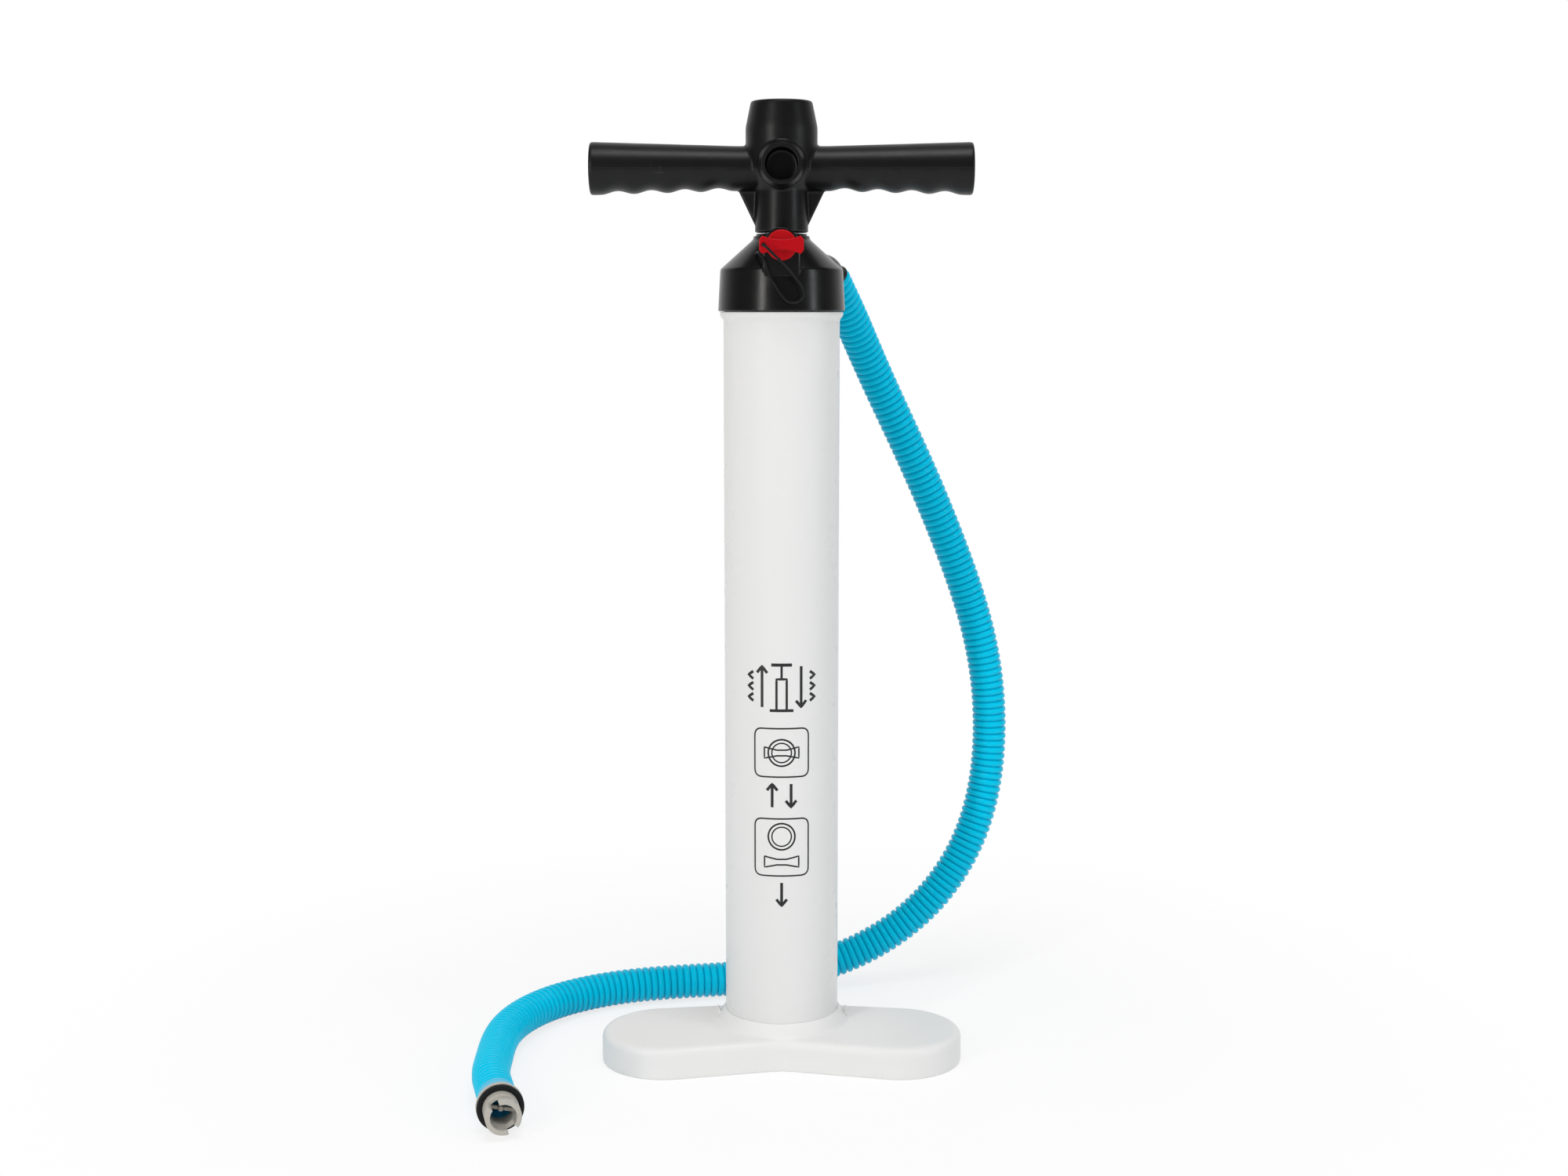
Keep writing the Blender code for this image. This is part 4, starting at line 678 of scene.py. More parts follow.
@dataclass(frozen=True)
class BraidFinish(Finish):
    """Thin cord with the slanted strands of a round braid."""

    along: str = "along"
    around: str = "around"
    strands: float = 6.0
    lay: float = 900.0

    def relief(self, sketch: Sketch, coords: Socket, grain: Socket) -> Socket:
        """Return the braid's two crossing sets of strands."""
        run = sketch.maths("MULTIPLY", sketch.attribute(self.along), self.lay)
        turn = sketch.maths("MULTIPLY", sketch.attribute(self.around), self.strands * math.tau)
        left = sketch.maths("SINE", sketch.maths("ADD", run, turn))
        right = sketch.maths("SINE", sketch.maths("SUBTRACT", run, turn))
        return sketch.maths("ADD", grain, sketch.maths("MAXIMUM", left, right))


@dataclass(frozen=True)
class BrushedFinish(Finish):
    """Drawn metal tube with fine lines along its length."""

    def relief(self, sketch: Sketch, coords: Socket, grain: Socket) -> Socket:
        """Return the drawing lines."""
        laid = sketch.node("Mapping", {"Vector": coords, "Scale": (1.0, 1.0, 0.012)}).outputs["Vector"]
        return sketch.noise(laid, 1900.0, 3.0, 0.6)


HANDLE_LOW, HANDLE_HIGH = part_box("handle")
GRIP_RISE = 0.0393
BLACK = (0.0030, 0.0030, 0.0032)


class Finishes:
    """The pump's finishes, named for what they are on."""

    CAP = Finish("cap_black", BLACK, 0.25, 0.25, 0.10, 1500.0, 0.000028, 0.32, rub_gloss=-0.04)
    GRIP = GripFinish("grip_black", BLACK, 0.38, 0.25, 0.12, 1300.0, 0.00003, 0.26, rub_gloss=-0.06,
                      scratch_tone=0.05, seam_height=HANDLE_LOW.z + GRIP_RISE)
    TUBE = Finish("barrel_white", (0.765, 0.765, 0.76), 0.28, 0.02, 0.06, 140.0, 0.00003, 0.06,
                  rub_gloss=0.08, scratch_tone=-0.03)
    FOOT = Finish("foot_white", (0.77, 0.768, 0.76), 0.34, 0.035, 0.10, 700.0, 0.00003, 0.22,
                  rub_gloss=0.08, scratch_tone=-0.10, speck_tone=0.75)
    # the hose's finish paints shade into its grooves from the rib height
    HOSE = GrooveShadeFinish("hose_blue", (0.0, 0.55, 0.80), 0.12, 0.04, 0.06, 600.0, 0.00001, 0.09)
    CUFF = Finish("cuff_blue", (0.075, 0.50, 0.75), 0.26, 0.06, 0.08, 500.0, 0.00002, 0.3)
    SPIGOT = Finish("spigot_grey", (0.45, 0.43, 0.385), 0.34, 0.08, 0.12, 700.0, 0.00003, 0.4, rub_gloss=0.06)
    RUBBER = Finish("seal_rubber", (0.008, 0.009, 0.010), 0.60, 0.20, 0.14, 1100.0, 0.00003, 0.20)
    RED = Finish("plug_red", (0.42, 0.0015, 0.006), 0.36, 0.10, 0.10, 1100.0, 0.00002, 0.12, rub_gloss=0.05)
    CORD = BraidFinish("tether_black", (0.006, 0.006, 0.007), 0.55, 0.20, 0.10, 1500.0, 0.00003, 0.2)
    ROD = BrushedFinish("rod_metal", (0.70, 0.71, 0.72), 0.33, 0.04, 0.06, 900.0, 0.000003, 0.5, metallic=1.0)
    STEEL = Finish("screw_steel", (0.55, 0.56, 0.57), 0.30, 0.08, 0.15, 900.0, 0.00002, 0.5, metallic=1.0)
    INK = Finish("print_ink", (0.012, 0.012, 0.013), 0.42, 0.15, 0.12, 700.0, 0.00001, 0.4)
    INNER = Finish("works_white", (0.70, 0.70, 0.68), 0.42, 0.05, 0.10, 700.0, 0.00004, 0.45)
    GREY = Finish("works_grey", (0.28, 0.28, 0.29), 0.45, 0.08, 0.10, 700.0, 0.00004, 0.45)
    DISC = Finish("valve_red", (0.42, 0.02, 0.02), 0.55, 0.10, 0.10, 900.0, 0.00004, 0.40)


# Pieces


def piece(name: str, bm: Form, finish: Finish, body: Optional[Body],
          replaces: Sequence[str] = (), sharp: float = 180.0) -> Object:
    """Turn a form into a finished piece on its body.

    Args:
        name: The piece's name.
        bm: Its form, in place, which is freed.
        finish: Its finish.
        body: What it moves with, or None where it spans two bodies and rides on neither.
        replaces: Solids that it stands for.
        sharp: Angle between faces, in degrees, past which an edge shows as sharp.

    Returns:
        The piece.
    """
    mesh = bpy.data.meshes.new(name)
    bm.to_mesh(mesh)
    bm.free()
    mesh.shade_smooth()
    if sharp < 180.0:
        mesh.set_sharp_from_angle(angle=math.radians(sharp))
    mesh.materials.append(finish.material())
    obj = placed(name, mesh)
    if body:
        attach(obj, body.value)
    if replaces:
        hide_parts(*replaces)
    LOG.info("%s: %d faces", name, len(mesh.polygons))
    return obj


def store(obj: Object, label: str, values: np.ndarray) -> None:
    """Write a value for each vertex of a piece, for its finish to read."""
    obj.data.attributes.new(label, "FLOAT", "POINT").data.foreach_set("value", values)


@dataclass
class Studio:
    """Camera, lamps, floor and pale surroundings."""

    camera_place: Place = (0.0015, -1.30, 0.4845)
    camera_drop: float = 7.88
    lens: float = 47.16
    sensor: float = 36.0
    ambient: float = 0.50
    floor_half: float = 6.0
    fade_start: float = 0.12
    fade_end: float = 0.60
    fade_least: float = 0.76
    room: float = 0.18
    room_turn: float = 0.95
    aim: Place = (0.0, 0.0, 0.33)

    def camera(self) -> None:
        """Set up the camera where the photograph was taken from."""
        data = bpy.data.cameras.new("camera")
        data.sensor_fit = "HORIZONTAL"
        data.sensor_width = self.sensor
        data.lens = self.lens
        obj = placed("camera", data)
        obj.location = self.camera_place
        obj.rotation_euler = (math.radians(90.0 - self.camera_drop), 0.0, 0.0)
        bpy.context.scene.camera = obj

    def lamp(self, name: str, place: Place, size: Point, power: float, colour: Colour) -> None:
        """Add a soft box that faces the pump's middle.

        Args:
            name: The lamp's name.
            place: Where it stands.
            size: Its width and height.
            power: Its power in watts.
            colour: Its colour.
        """
        data = bpy.data.lights.new(name, "AREA")
        data.shape = "RECTANGLE"
        data.size, data.size_y = size
        data.energy = power
        data.color = colour
        obj = placed(name, data)
        obj.location = place
        way = Vector(self.aim) - Vector(place)
        obj.rotation_euler = way.to_track_quat("-Z", "Y").to_euler()

    def lamps(self) -> None:
        """Light the pump from the left, with a weaker cool box at the right and one overhead."""
        self.lamp("key_strip", (-1.00, -1.40, 0.70), (0.08, 1.4), 10.5, (1.0, 0.985, 0.96))
        self.lamp("side_strip", (1.45, -0.85, 0.60), (0.16, 1.3), 5.5, (0.92, 0.96, 1.0))
        self.lamp("top_box", (0.10, -0.55, 2.3), (1.2, 0.7), 16.0, (1.0, 1.0, 1.0))

    @staticmethod
    def seen(sketch: Sketch) -> Socket:
        """Return 1 for the rays that show a background: camera, glossy and transmission rays."""
        path = sketch.node("LightPath").outputs
        direct = sketch.maths("MAXIMUM", path["Is Camera Ray"], path["Is Glossy Ray"])
        return sketch.maths("MAXIMUM", direct, path["Is Transmission Ray"])

    def surroundings(self) -> None:
        """Make the world: a white backdrop that is seen, a dimmer room before it and a plain light."""
        world = bpy.data.worlds.new("studio")
        world.use_nodes = True
        bpy.context.scene.world = world
        tree = world.node_tree
        tree.nodes.clear()
        sketch = Sketch(tree)
        way = sketch.node("SeparateXYZ", {0: sketch.node("TexCoord").outputs["Generated"]}).outputs["Y"]
        room = sketch.ramp(way, 0.0, self.room_turn, self.room, 1.0)
        shown = sketch.maths("MAXIMUM", room, sketch.node("LightPath").outputs["Is Camera Ray"])
        light = sketch.node("Background", {"Color": (1.0, 1.0, 1.0, 1.0), "Strength": self.ambient})
        backdrop = sketch.node("Background", {"Color": (1.0, 1.0, 1.0, 1.0), "Strength": shown})
        mixed = sketch.node("MixShader", {0: self.seen(sketch), 1: light.outputs[0], 2: backdrop.outputs[0]})
        sketch.node("OutputWorld", {"Surface": mixed.outputs[0]})

    def floor(self) -> None:
        """Lay a pale floor that keeps the shadow and fades to white away from the pump."""
        bm = bmesh.new()
        bmesh.ops.create_circle(bm, cap_ends=True, segments=96, radius=self.floor_half)
        mesh = bpy.data.meshes.new("floor")
        bm.to_mesh(mesh)
        bm.free()
        material = bpy.data.materials.new("floor_pale")
        material.use_nodes = True
        tree = material.node_tree
        shader = tree.nodes["Principled BSDF"]
        sketch = Sketch(tree)
        coords = sketch.node("TexCoord").outputs["Object"]
        tint = sketch.ramp(sketch.noise(coords, 9.0, 3.0), 0.3, 0.7)
        pale = sketch.mix(tint, (0.93, 0.93, 0.93, 1.0), (0.95, 0.95, 0.95, 1.0))
        tree.links.new(pale, shader.inputs["Base Color"])
        shader.inputs["Roughness"].default_value = 0.9
        shader.inputs["Specular IOR Level"].default_value = 0.1
        white = sketch.node("Emission", {"Color": (1.0, 1.0, 1.0, 1.0), "Strength": 1.0})
        reach = sketch.node("VectorMath", {0: coords}, operation="LENGTH").outputs["Value"]
        fade = sketch.ramp(reach, self.fade_start, self.fade_end, self.fade_least, 1.0)
        share = sketch.maths("MULTIPLY", fade, self.seen(sketch))
        mixed = sketch.node("MixShader", {0: share, 1: shader.outputs[0], 2: white.outputs[0]})
        tree.links.new(mixed.outputs[0], tree.nodes["Material Output"].inputs["Surface"])
        mesh.materials.append(material)
        obj = placed("floor", mesh)

    def build(self) -> None:
        """Set up the whole studio."""
        bpy.context.scene.view_settings.view_transform = "Standard"
        self.camera()
        self.lamps()
        self.surroundings()
        self.floor()


@dataclass
class Elbow:
    """The bent pipe that leads the hose down from the back of the cap."""

    azimuth: float = 29.5
    port_height: float = 0.5071
    face: float = 0.0445
    lead: float = 0.0105
    bend: float = 0.0115
    drop: float = 48.0
    swing: float = 4.0
    tail: float = 0.0015
    radius: float = 0.0092
    collar_radius: float = 0.0112
    flange: float = 0.0027
    nipple: float = 0.007
    bore: float = 0.0062
    overrun: float = 0.03

    @property
    def way(self) -> Vector:
        """Direction in which the port points."""
        angle = math.radians(self.azimuth)
        return Vector((math.sin(angle), math.cos(angle), 0.0))

    def line(self) -> tuple[list[Vector], Vector]:
        """Return the stations along the bend, and the direction in which it ends."""
        swing = math.radians(self.swing)
        side = Vector((self.way.y, -self.way.x, 0.0))
        down = Vector((0, 0, -1)) * math.cos(swing) + side * math.sin(swing)
        start = Vector((0, 0, self.port_height)) + self.way * (self.face + self.lead)
        steps = 16
        stations = []
        for step in range(steps + 1):
            angle = math.radians(self.drop * step / steps)
            turned = self.way * math.sin(angle) + down * (1.0 - math.cos(angle))
            stations.append(start + turned * self.bend)
        drop = math.radians(self.drop)
        return stations, self.way * math.cos(drop) + down * math.sin(drop)

    def seat(self) -> tuple[Vector, Vector]:
        """Return where the hose starts against the collar, and its direction there."""
        stations, last = self.line()
        return stations[-1] + last * (self.tail * 2 + GAP), last

    def plate(self, thickness: float, place: Matrix) -> Form:
        """Return a round plate of the collar's radius with soft rims."""
        soft = self.flange * 0.3
        return spun(rounded([(0.0, 0.0, 0.0), (self.collar_radius, 0.0, soft),
                             (self.collar_radius, thickness, soft), (0.0, thickness, 0.0)]), 64, place)

    def build(self) -> Object:
        """Model the pipe with its flange and collar."""
        stations, last = self.line()
        end = stations[-1]
        origin = Vector((0, 0, self.port_height)) + self.way * self.face
        spine = [origin - self.way * self.nipple] + stations + [end + last * self.tail * 1.5]
        reamed = [origin - self.way * self.nipple * 2] + stations + [end + last * self.overrun]
        steps = [(Step.JOIN, self.plate(self.flange, aimed(origin, self.way))),
                 (Step.JOIN, self.plate(self.tail, aimed(end + last * self.tail, last))),
                 (Step.CUT, tube(reamed, [self.bore] * len(reamed), 6))]
        form = softened(combined(tube(spine, [self.radius] * len(spine), 10), steps), 0.00045, 2)
        return piece("elbow_pipe", form, Finishes.CAP, Body.PUMP, ["hose_elbow"])


@dataclass
class HoseEnd:
    """The hose's end: plain sleeve, flanged bayonet spigot and its gasket."""

    face: Vector = Vector((-0.1671, -0.1365, 0.0144))
    axis: Vector = Vector((0.25, -0.968, 0.0)).normalized()
    cuff_length: float = 0.013
    cuff_radius: float = 0.0117
    cuff_bore: float = 0.0086
    flange_radius: float = 0.01425
    flange: float = 0.003
    spigot_radius: float = 0.0108
    spigot_wall: float = 0.00295
    spigot_length: float = 0.018
    seal_radius: float = 0.01415
    seal: float = 0.003
    mouth_span: float = 35.0
    hook_span: float = 78.0
    hook_width: float = 0.0052
    slot_depth: float = 0.0092
    slot_start: float = 156.0
    cross_bar: float = 0.0022

    @property
    def place(self) -> Matrix:
        """Where the end's own axes stand."""
        return aimed(self.face, self.axis)

    def hooked_slot(self, first: float, low: float, high: float, inner: float, outer: float) -> Form:
        """Return the form of a slot with a hook at its foot, wrapped round the axis.

        Args:
            first: Angle of the slot's straight side, in degrees.
            low: Height of the hook's foot.
            high: Height past the spigot's tip.
            inner: Radius inside the wall.
            outer: Radius outside the wall.

        Returns:
            The slot's form.
        """
        steps = 26
        hook = [(self.hook_span * step / steps, low) for step in range(steps + 1)]
        back = [(x, low + self.hook_width) for x, _ in reversed(hook) if x > self.mouth_span]
        mouth = [(self.mouth_span * step / 8, high) for step in range(8, -1, -1)]
        outline = hook + back + [(self.mouth_span, low + self.hook_width)] + mouth
        bm = extruded(outline, inner, outer)
        bmesh.ops.triangulate(bm, faces=bm.faces)
        for vert in bm.verts:
            angle = math.radians(first - vert.co.x)
            vert.co = (vert.co.z * math.cos(angle), vert.co.z * math.sin(angle), vert.co.y)
        bmesh.ops.recalc_face_normals(bm, faces=bm.faces)
        bm.transform(self.place)
        return bm

    def build_spigot(self) -> Object:
        """Model the flange and the slotted spigot with the bar across its bore."""
        bore = self.spigot_radius - self.spigot_wall
        tip = self.flange + self.spigot_length
        profile = [(bore, tip), (self.spigot_radius, tip), (self.spigot_radius, self.flange),
                   (self.flange_radius, self.flange), (self.flange_radius, 0.0), (bore, 0.0)]
        steps = [(Step.CUT, self.hooked_slot(self.slot_start + turn, tip - self.slot_depth, tip * 2, bore / 2,
                                             self.spigot_radius * 2)) for turn in (0.0, 180.0)]
        half = self.cross_bar / 2
        low = self.flange + half / 2
        cross = block((-bore - half, -half, low), (bore + half, half, low + self.cross_bar))
        nub = bar((0, 0, low - half), (0, 0, low + self.cross_bar * 1.6), half * 1.5, 24)
        for solid in (cross, nub):
            solid.transform(self.place)
            steps.append((Step.JOIN, solid))
        form = softened(combined(spun(profile, 96, self.place), steps), 0.00032, 3)
        return piece("spigot_moulding", form, Finishes.SPIGOT, Body.PUMP, ["hose_connector"])

    def build_cuff(self) -> Object:
        """Model the plain sleeve between hose and flange, with a bead at each end."""
        bead = 0.00025
        low, high = -self.cuff_length - GAP, -GAP
        outer = self.cuff_radius
        profile = rounded([(self.cuff_bore, low, 0.0003), (outer, low, 0.0006),
                           (outer + bead, low + 0.0016, 0.0006), (outer - bead, low + 0.003, 0.0006),
                           (outer - bead, high - 0.002, 0.0006), (outer + bead, high, 0.0005),
                           (self.cuff_bore, high, 0.0003)])
        return piece("cuff_sleeve", spun(profile, 72, self.place), Finishes.CUFF, Body.PUMP,
                     ["hose_cuff"], CRISP)

    def build_seal(self) -> Object:
        """Model the rubber ring on the spigot."""
        low = self.flange + GAP
        inner = self.spigot_radius + GAP / 2
        profile = ring_profile(inner, self.seal_radius, low, low + self.seal, 0.0009)
        return piece("spigot_seal", spun(profile, 72, self.place), Finishes.RUBBER, Body.PUMP,
                     ["connector_gasket"])

    def build(self) -> list[Object]:
        """Model the three pieces."""
        return [self.build_cuff(), self.build_spigot(), self.build_seal()]


@dataclass
class Hose:
    """The ribbed hose, from the elbow to the sleeve at its end."""

    elbow: Elbow
    end: HoseEnd
    crest: float = 0.0119
    depth: float = 0.0023
    bore: float = 0.0086
    rib_pitch: float = 0.0047
    rings: int = 10
    route: tuple[Place, ...] = (
        (0.059, 0.094, 0.446), (0.090, 0.115, 0.381), (0.119, 0.130, 0.314), (0.141, 0.138, 0.246),
        (0.148, 0.140, 0.178), (0.136, 0.136, 0.110), (0.107, 0.131, 0.0625), (0.060, 0.125, 0.0275),
        (0.012, 0.115, 0.0132), (-0.040, 0.0985, 0.0124), (-0.106, 0.083, 0.0125), (-0.1575, 0.0465, 0.0126),
        (-0.1805, -0.0055, 0.0125), (-0.1815, -0.056, 0.0125),
    )

    def centreline(self) -> np.ndarray:
        """Return close points along the hose, straight for a diameter at both ends."""
        start, way = self.elbow.seat()
        finish = self.end.face - self.end.axis * (self.end.cuff_length + GAP * 2)
        straight = self.crest * 2
        between = [Vector(point) for point in self.route]
        knots = [start + way * straight, *between, finish - self.end.axis * straight]
        middle = Route(tuple(knots), way, self.end.axis).samples()
        return np.concatenate([[start], middle, [finish]])

    def build(self) -> Object:
        line = self.centreline()
        _, length = evenly(line, 10)
        ribs = round(length / self.rib_pitch)
        stations, _ = evenly(line, ribs * self.rings)
        heights = []
        for index in range(len(stations)):
            phase = (index % self.rings) / self.rings * 2.0 - 1.0
            heights.append(math.sqrt(max(0.0, 1.0 - phase * phase)))
        groove = self.crest - self.depth
        outer = tube(stations, [groove + self.depth * height for height in heights], 10, capped=False)
        inner_line, _ = evenly(line, 120)
        inner = tube(inner_line, [self.bore] * len(inner_line), 10, capped=False)
        bm = merged([outer, inner])
        rims = [edge for edge in bm.edges if edge.is_boundary]
        for end in (Vector(stations[0]), Vector(stations[-1])):
            near = [edge for edge in rims if (edge.verts[0].co - end).length < self.crest * 1.5]
            bmesh.ops.bridge_loops(bm, edges=near)
        bmesh.ops.recalc_face_normals(bm, faces=bm.faces)
        obj = piece("hose_ribbed", bm, Finishes.HOSE, Body.PUMP, ["hose"])
        self.mark_ribs(obj, stations)
        start, _ = self.elbow.seat()
        LOG.info("hose: %.3f m, %d ribs", length, ribs)
        return obj

    def mark_ribs(self, obj: Object, stations: np.ndarray) -> None:
        """Write each point's height on its rib, from 0 in a groove to 1 on a crest.

        Args:
            obj: The hose.
            stations: Centres of the hose's rings.
        """
        points = np.array([vert.co for vert in obj.data.vertices])
        groove = self.crest - self.depth
        values = np.zeros(len(points), np.float32)
        for index, point in enumerate(points):
            away = float(np.min(np.linalg.norm(stations[::2] - point, axis=1)))
            values[index] = min(1.0, max(0.0, (away - groove) / self.depth))
        # the finish reads this height to paint shade into the grooves
        store(obj, Finishes.HOSE.attribute, values)


@dataclass
class Tether:
    """The thin cord that keeps the plug on the cap."""

    radius: float = 0.0008
    start: Vector = Vector((-0.0108, -0.0513, 0.5196))
    finish: Vector = Vector((-0.0154, -0.0272, 0.5129))
    finish_way: Vector = Vector((0.33, 0.58, -0.74))
    still_y: float = -0.0425
    moving_y: float = -0.0510
    route: tuple[Place, ...] = (
        (-0.0109, -0.0535, 0.5196), (-0.0105, -0.0560, 0.5192), (-0.0083, -0.0572, 0.5173),
        (-0.0045, -0.0564, 0.5135), (0.0, -0.0542, 0.5095), (0.0042, -0.0510, 0.5050),
        (0.0088, -0.0460, 0.4994), (0.0126, -0.0427, 0.4938), (0.0132, -0.0422, 0.4890),
        (0.0100, -0.0430, 0.4858), (0.0055, -0.0436, 0.4852), (0.0010, -0.0435, 0.4885),
        (-0.0035, -0.0430, 0.4950), (-0.0070, -0.0430, 0.5010), (-0.0090, -0.0430, 0.5065),
        (-0.0105, -0.0430, 0.5108), (-0.0124, -0.0418, 0.5136), (-0.0138, -0.0380, 0.5152),
        (-0.0150, -0.0325, 0.5152),
    )

    def build(self) -> Object:
        knots = (self.start, *(Vector(point) for point in self.route), self.finish)
        line = Route(knots, Vector((0, -1, 0)), self.finish_way).samples()
        stations, length = evenly(line, 220)
        bm = tube(stations, [self.radius] * len(stations), 6)
        obj = piece("tether_cord", bm, Finishes.CORD, None, ["tether"])
        self.mark_braid(obj, stations, length)
        LOG.info("tether: %.3f m", length)
        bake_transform(obj)
        return obj

    @staticmethod
    def mark_braid(obj: Object, stations: np.ndarray, length: float) -> None:
        """Write each point's run along the cord and its share of a turn round it.

        Args:
            obj: The cord.
            stations: Points of its centreline.
            length: Its length.
        """
        points = np.array([vert.co for vert in obj.data.vertices])
        along = np.zeros(len(points), np.float32)
        around = np.zeros(len(points), np.float32)
        for index, point in enumerate(points):
            near = int(np.argmin(np.linalg.norm(stations - point, axis=1)))
            off = point - stations[near]
            along[index] = near / (len(stations) - 1) * length
            around[index] = math.atan2(off[2], off[0]) / math.tau + 0.5
        store(obj, Finishes.CORD.along, along)
        store(obj, Finishes.CORD.around, around)


@dataclass
class Foot:
    """The two-lobed foot with its collar round the barrel."""

    lobe_radius: float = 0.041
    lobe_x: float = 0.075
    lobe_y: float = -0.0205
    lobe_back: float = 86.0
    hub_radius: float = 0.0452
    hub_shoulder: float = 35.3
    notch_y: float = -0.046
    notch_soft: float = 0.008
    shoulder_soft: float = 0.006
    height: float = 0.020
    edge_height: float = 0.0046
    edge_width: float = 0.005
    shell: float = 0.003
    rib: float = 0.0024
    rib_offset: float = 0.3
    rib_lift: float = 0.001
    socket: float = 0.0362
    socket_floor: float = 0.006
    core_wall: float = 0.0035
    collar_radius: float = 0.0422
    collar_height: float = 0.0083
    ear_rise: float = 0.0075
    ear_width: float = 0.003
    ear_depth: float = 0.004

    def outline(self) -> list[Point]:
        """Return the foot's plan outline with its soft corners."""
        notch = Vector((0.0, self.notch_y))
        lobe = Vector((self.lobe_x, self.lobe_y))
        away = lobe - notch
        tangent = math.degrees(math.atan2(away.y, away.x) - math.asin(self.lobe_radius / away.length)) - 90.0
        right = [(x, y, 0.0) for x, y in arc(lobe, self.lobe_radius, tangent, self.lobe_back, 44)]
        hub = arc((0.0, 0.0), self.hub_radius, self.hub_shoulder, 90.0, 18)
        right.append((*hub[0], self.shoulder_soft))
        right += [(x, y, 0.0) for x, y in hub[2:]]
        left = [(-x, y, soft) for x, y, soft in reversed(right[:-1])]
        return rounded([(0.0, self.notch_y, self.notch_soft)] + right + left)

    def shell_form(self) -> Form:
        """Return the outer form with its rounded top edge."""
        bm = extruded(self.outline(), 0.0, self.height - self.edge_height)
        top = max(bm.faces, key=lambda face: face.calc_center_median().z)
        steps = 6
        for step in range(1, steps + 1):
            before = math.radians(90.0 * (step - 1) / steps)
            after = math.radians(90.0 * step / steps)
            drawn = self.edge_width * (math.cos(before) - math.cos(after))
            bmesh.ops.inset_region(bm, faces=[top], thickness=drawn, use_even_offset=True, use_boundary=True)
            bmesh.ops.translate(bm, verts=top.verts,
                                vec=(0, 0, self.edge_height * (math.sin(after) - math.sin(before))))
        return bm

    def hollow_form(self) -> Form:
        """Return the form that hollows the foot from below and leaves its ribs and core."""
        bm = bmesh.new()
        face = bm.faces.new([bm.verts.new((x, y, -self.shell)) for x, y in self.outline()])
        face.normal_update()
        bmesh.ops.inset_region(bm, faces=[face], thickness=self.shell, use_even_offset=True,
                               use_boundary=True)
        bmesh.ops.delete(bm, geom=[item for item in bm.faces if item is not face], context="FACES")
        grown = bmesh.ops.extrude_face_region(bm, geom=[face])
        lifted = [item for item in grown["geom"] if isinstance(item, bmesh.types.BMVert)]
        bmesh.ops.translate(bm, verts=lifted, vec=(0, 0, self.height))
        bmesh.ops.recalc_face_normals(bm, faces=bm.faces)
        half = self.rib / 2
        reach = self.lobe_x + self.lobe_radius
        low, high = self.rib_lift, self.height * 2
        steps = [(Step.CUT, block((-reach, self.lobe_y - half, low), (reach, self.lobe_y + half, high)))]
        for side in (-1, 1):
            for offset in (-self.rib_offset, self.rib_offset):
                x = side * (self.lobe_x + offset * self.lobe_radius)
                steps.append((Step.CUT, block((x - half, self.lobe_y - self.lobe_radius, low),
                                              (x + half, self.lobe_y + self.lobe_radius, high))))
        core = bar((0, 0, -self.shell * 2), (0, 0, self.height * 2), self.socket + self.core_wall, 96)
        return combined(bm, steps + [(Step.CUT, core)])

    def collar_form(self) -> Form:
        """Return the cone that leads from the foot's top to the barrel, flared at its root."""
        top = self.height + self.collar_height
        lip = self.socket + 0.001
        root = self.collar_radius
        profile = [(0.0, self.socket_floor), (root + 0.001, self.socket_floor),
                   (root + 0.0016, self.height - 0.0004), (root + 0.0004, self.height + 0.0004),
                   (root - 0.0006, self.height + 0.0016), (lip + 0.0004, top - 0.0005), (lip, top),
                   (0.0, top)]
        return spun(profile, 128)

    def ear_form(self, side: int) -> Form:
        """Return one of the pointed ribs beside the collar.

        Args:
            side: 1 for the right one and -1 for the left one.

        Returns:
            The rib.
        """
        back = self.collar_radius - self.ear_depth
        low = self.height - 0.002
        tip = self.height + self.ear_rise
        outline = [(back, low), (self.collar_radius + 0.0003, low), (self.collar_radius, tip),
                   (self.collar_radius - 0.0006, tip), (back, self.height + 0.0005)]
        place = Matrix.Rotation(math.pi / 2, 4, "X")
        if side < 0:
            place = Matrix.Rotation(math.pi, 4, "Z") @ place
        return extruded(outline, -self.ear_width / 2, self.ear_width / 2, place)

    def build(self) -> Object:
        """Model the foot in one moulding."""
        bore = bar((0, 0, self.socket_floor), (0, 0, self.height * 4), self.socket, 128)
        steps = [(Step.CUT, self.hollow_form()), (Step.JOIN, self.collar_form()), (Step.CUT, bore)]
        form = softened(combined(self.shell_form(), steps), 0.0010, 2)
        form = merged([form, self.ear_form(1), self.ear_form(-1)])
        return piece("foot_moulding", form, Finishes.FOOT, Body.PUMP, ["foot_base"])


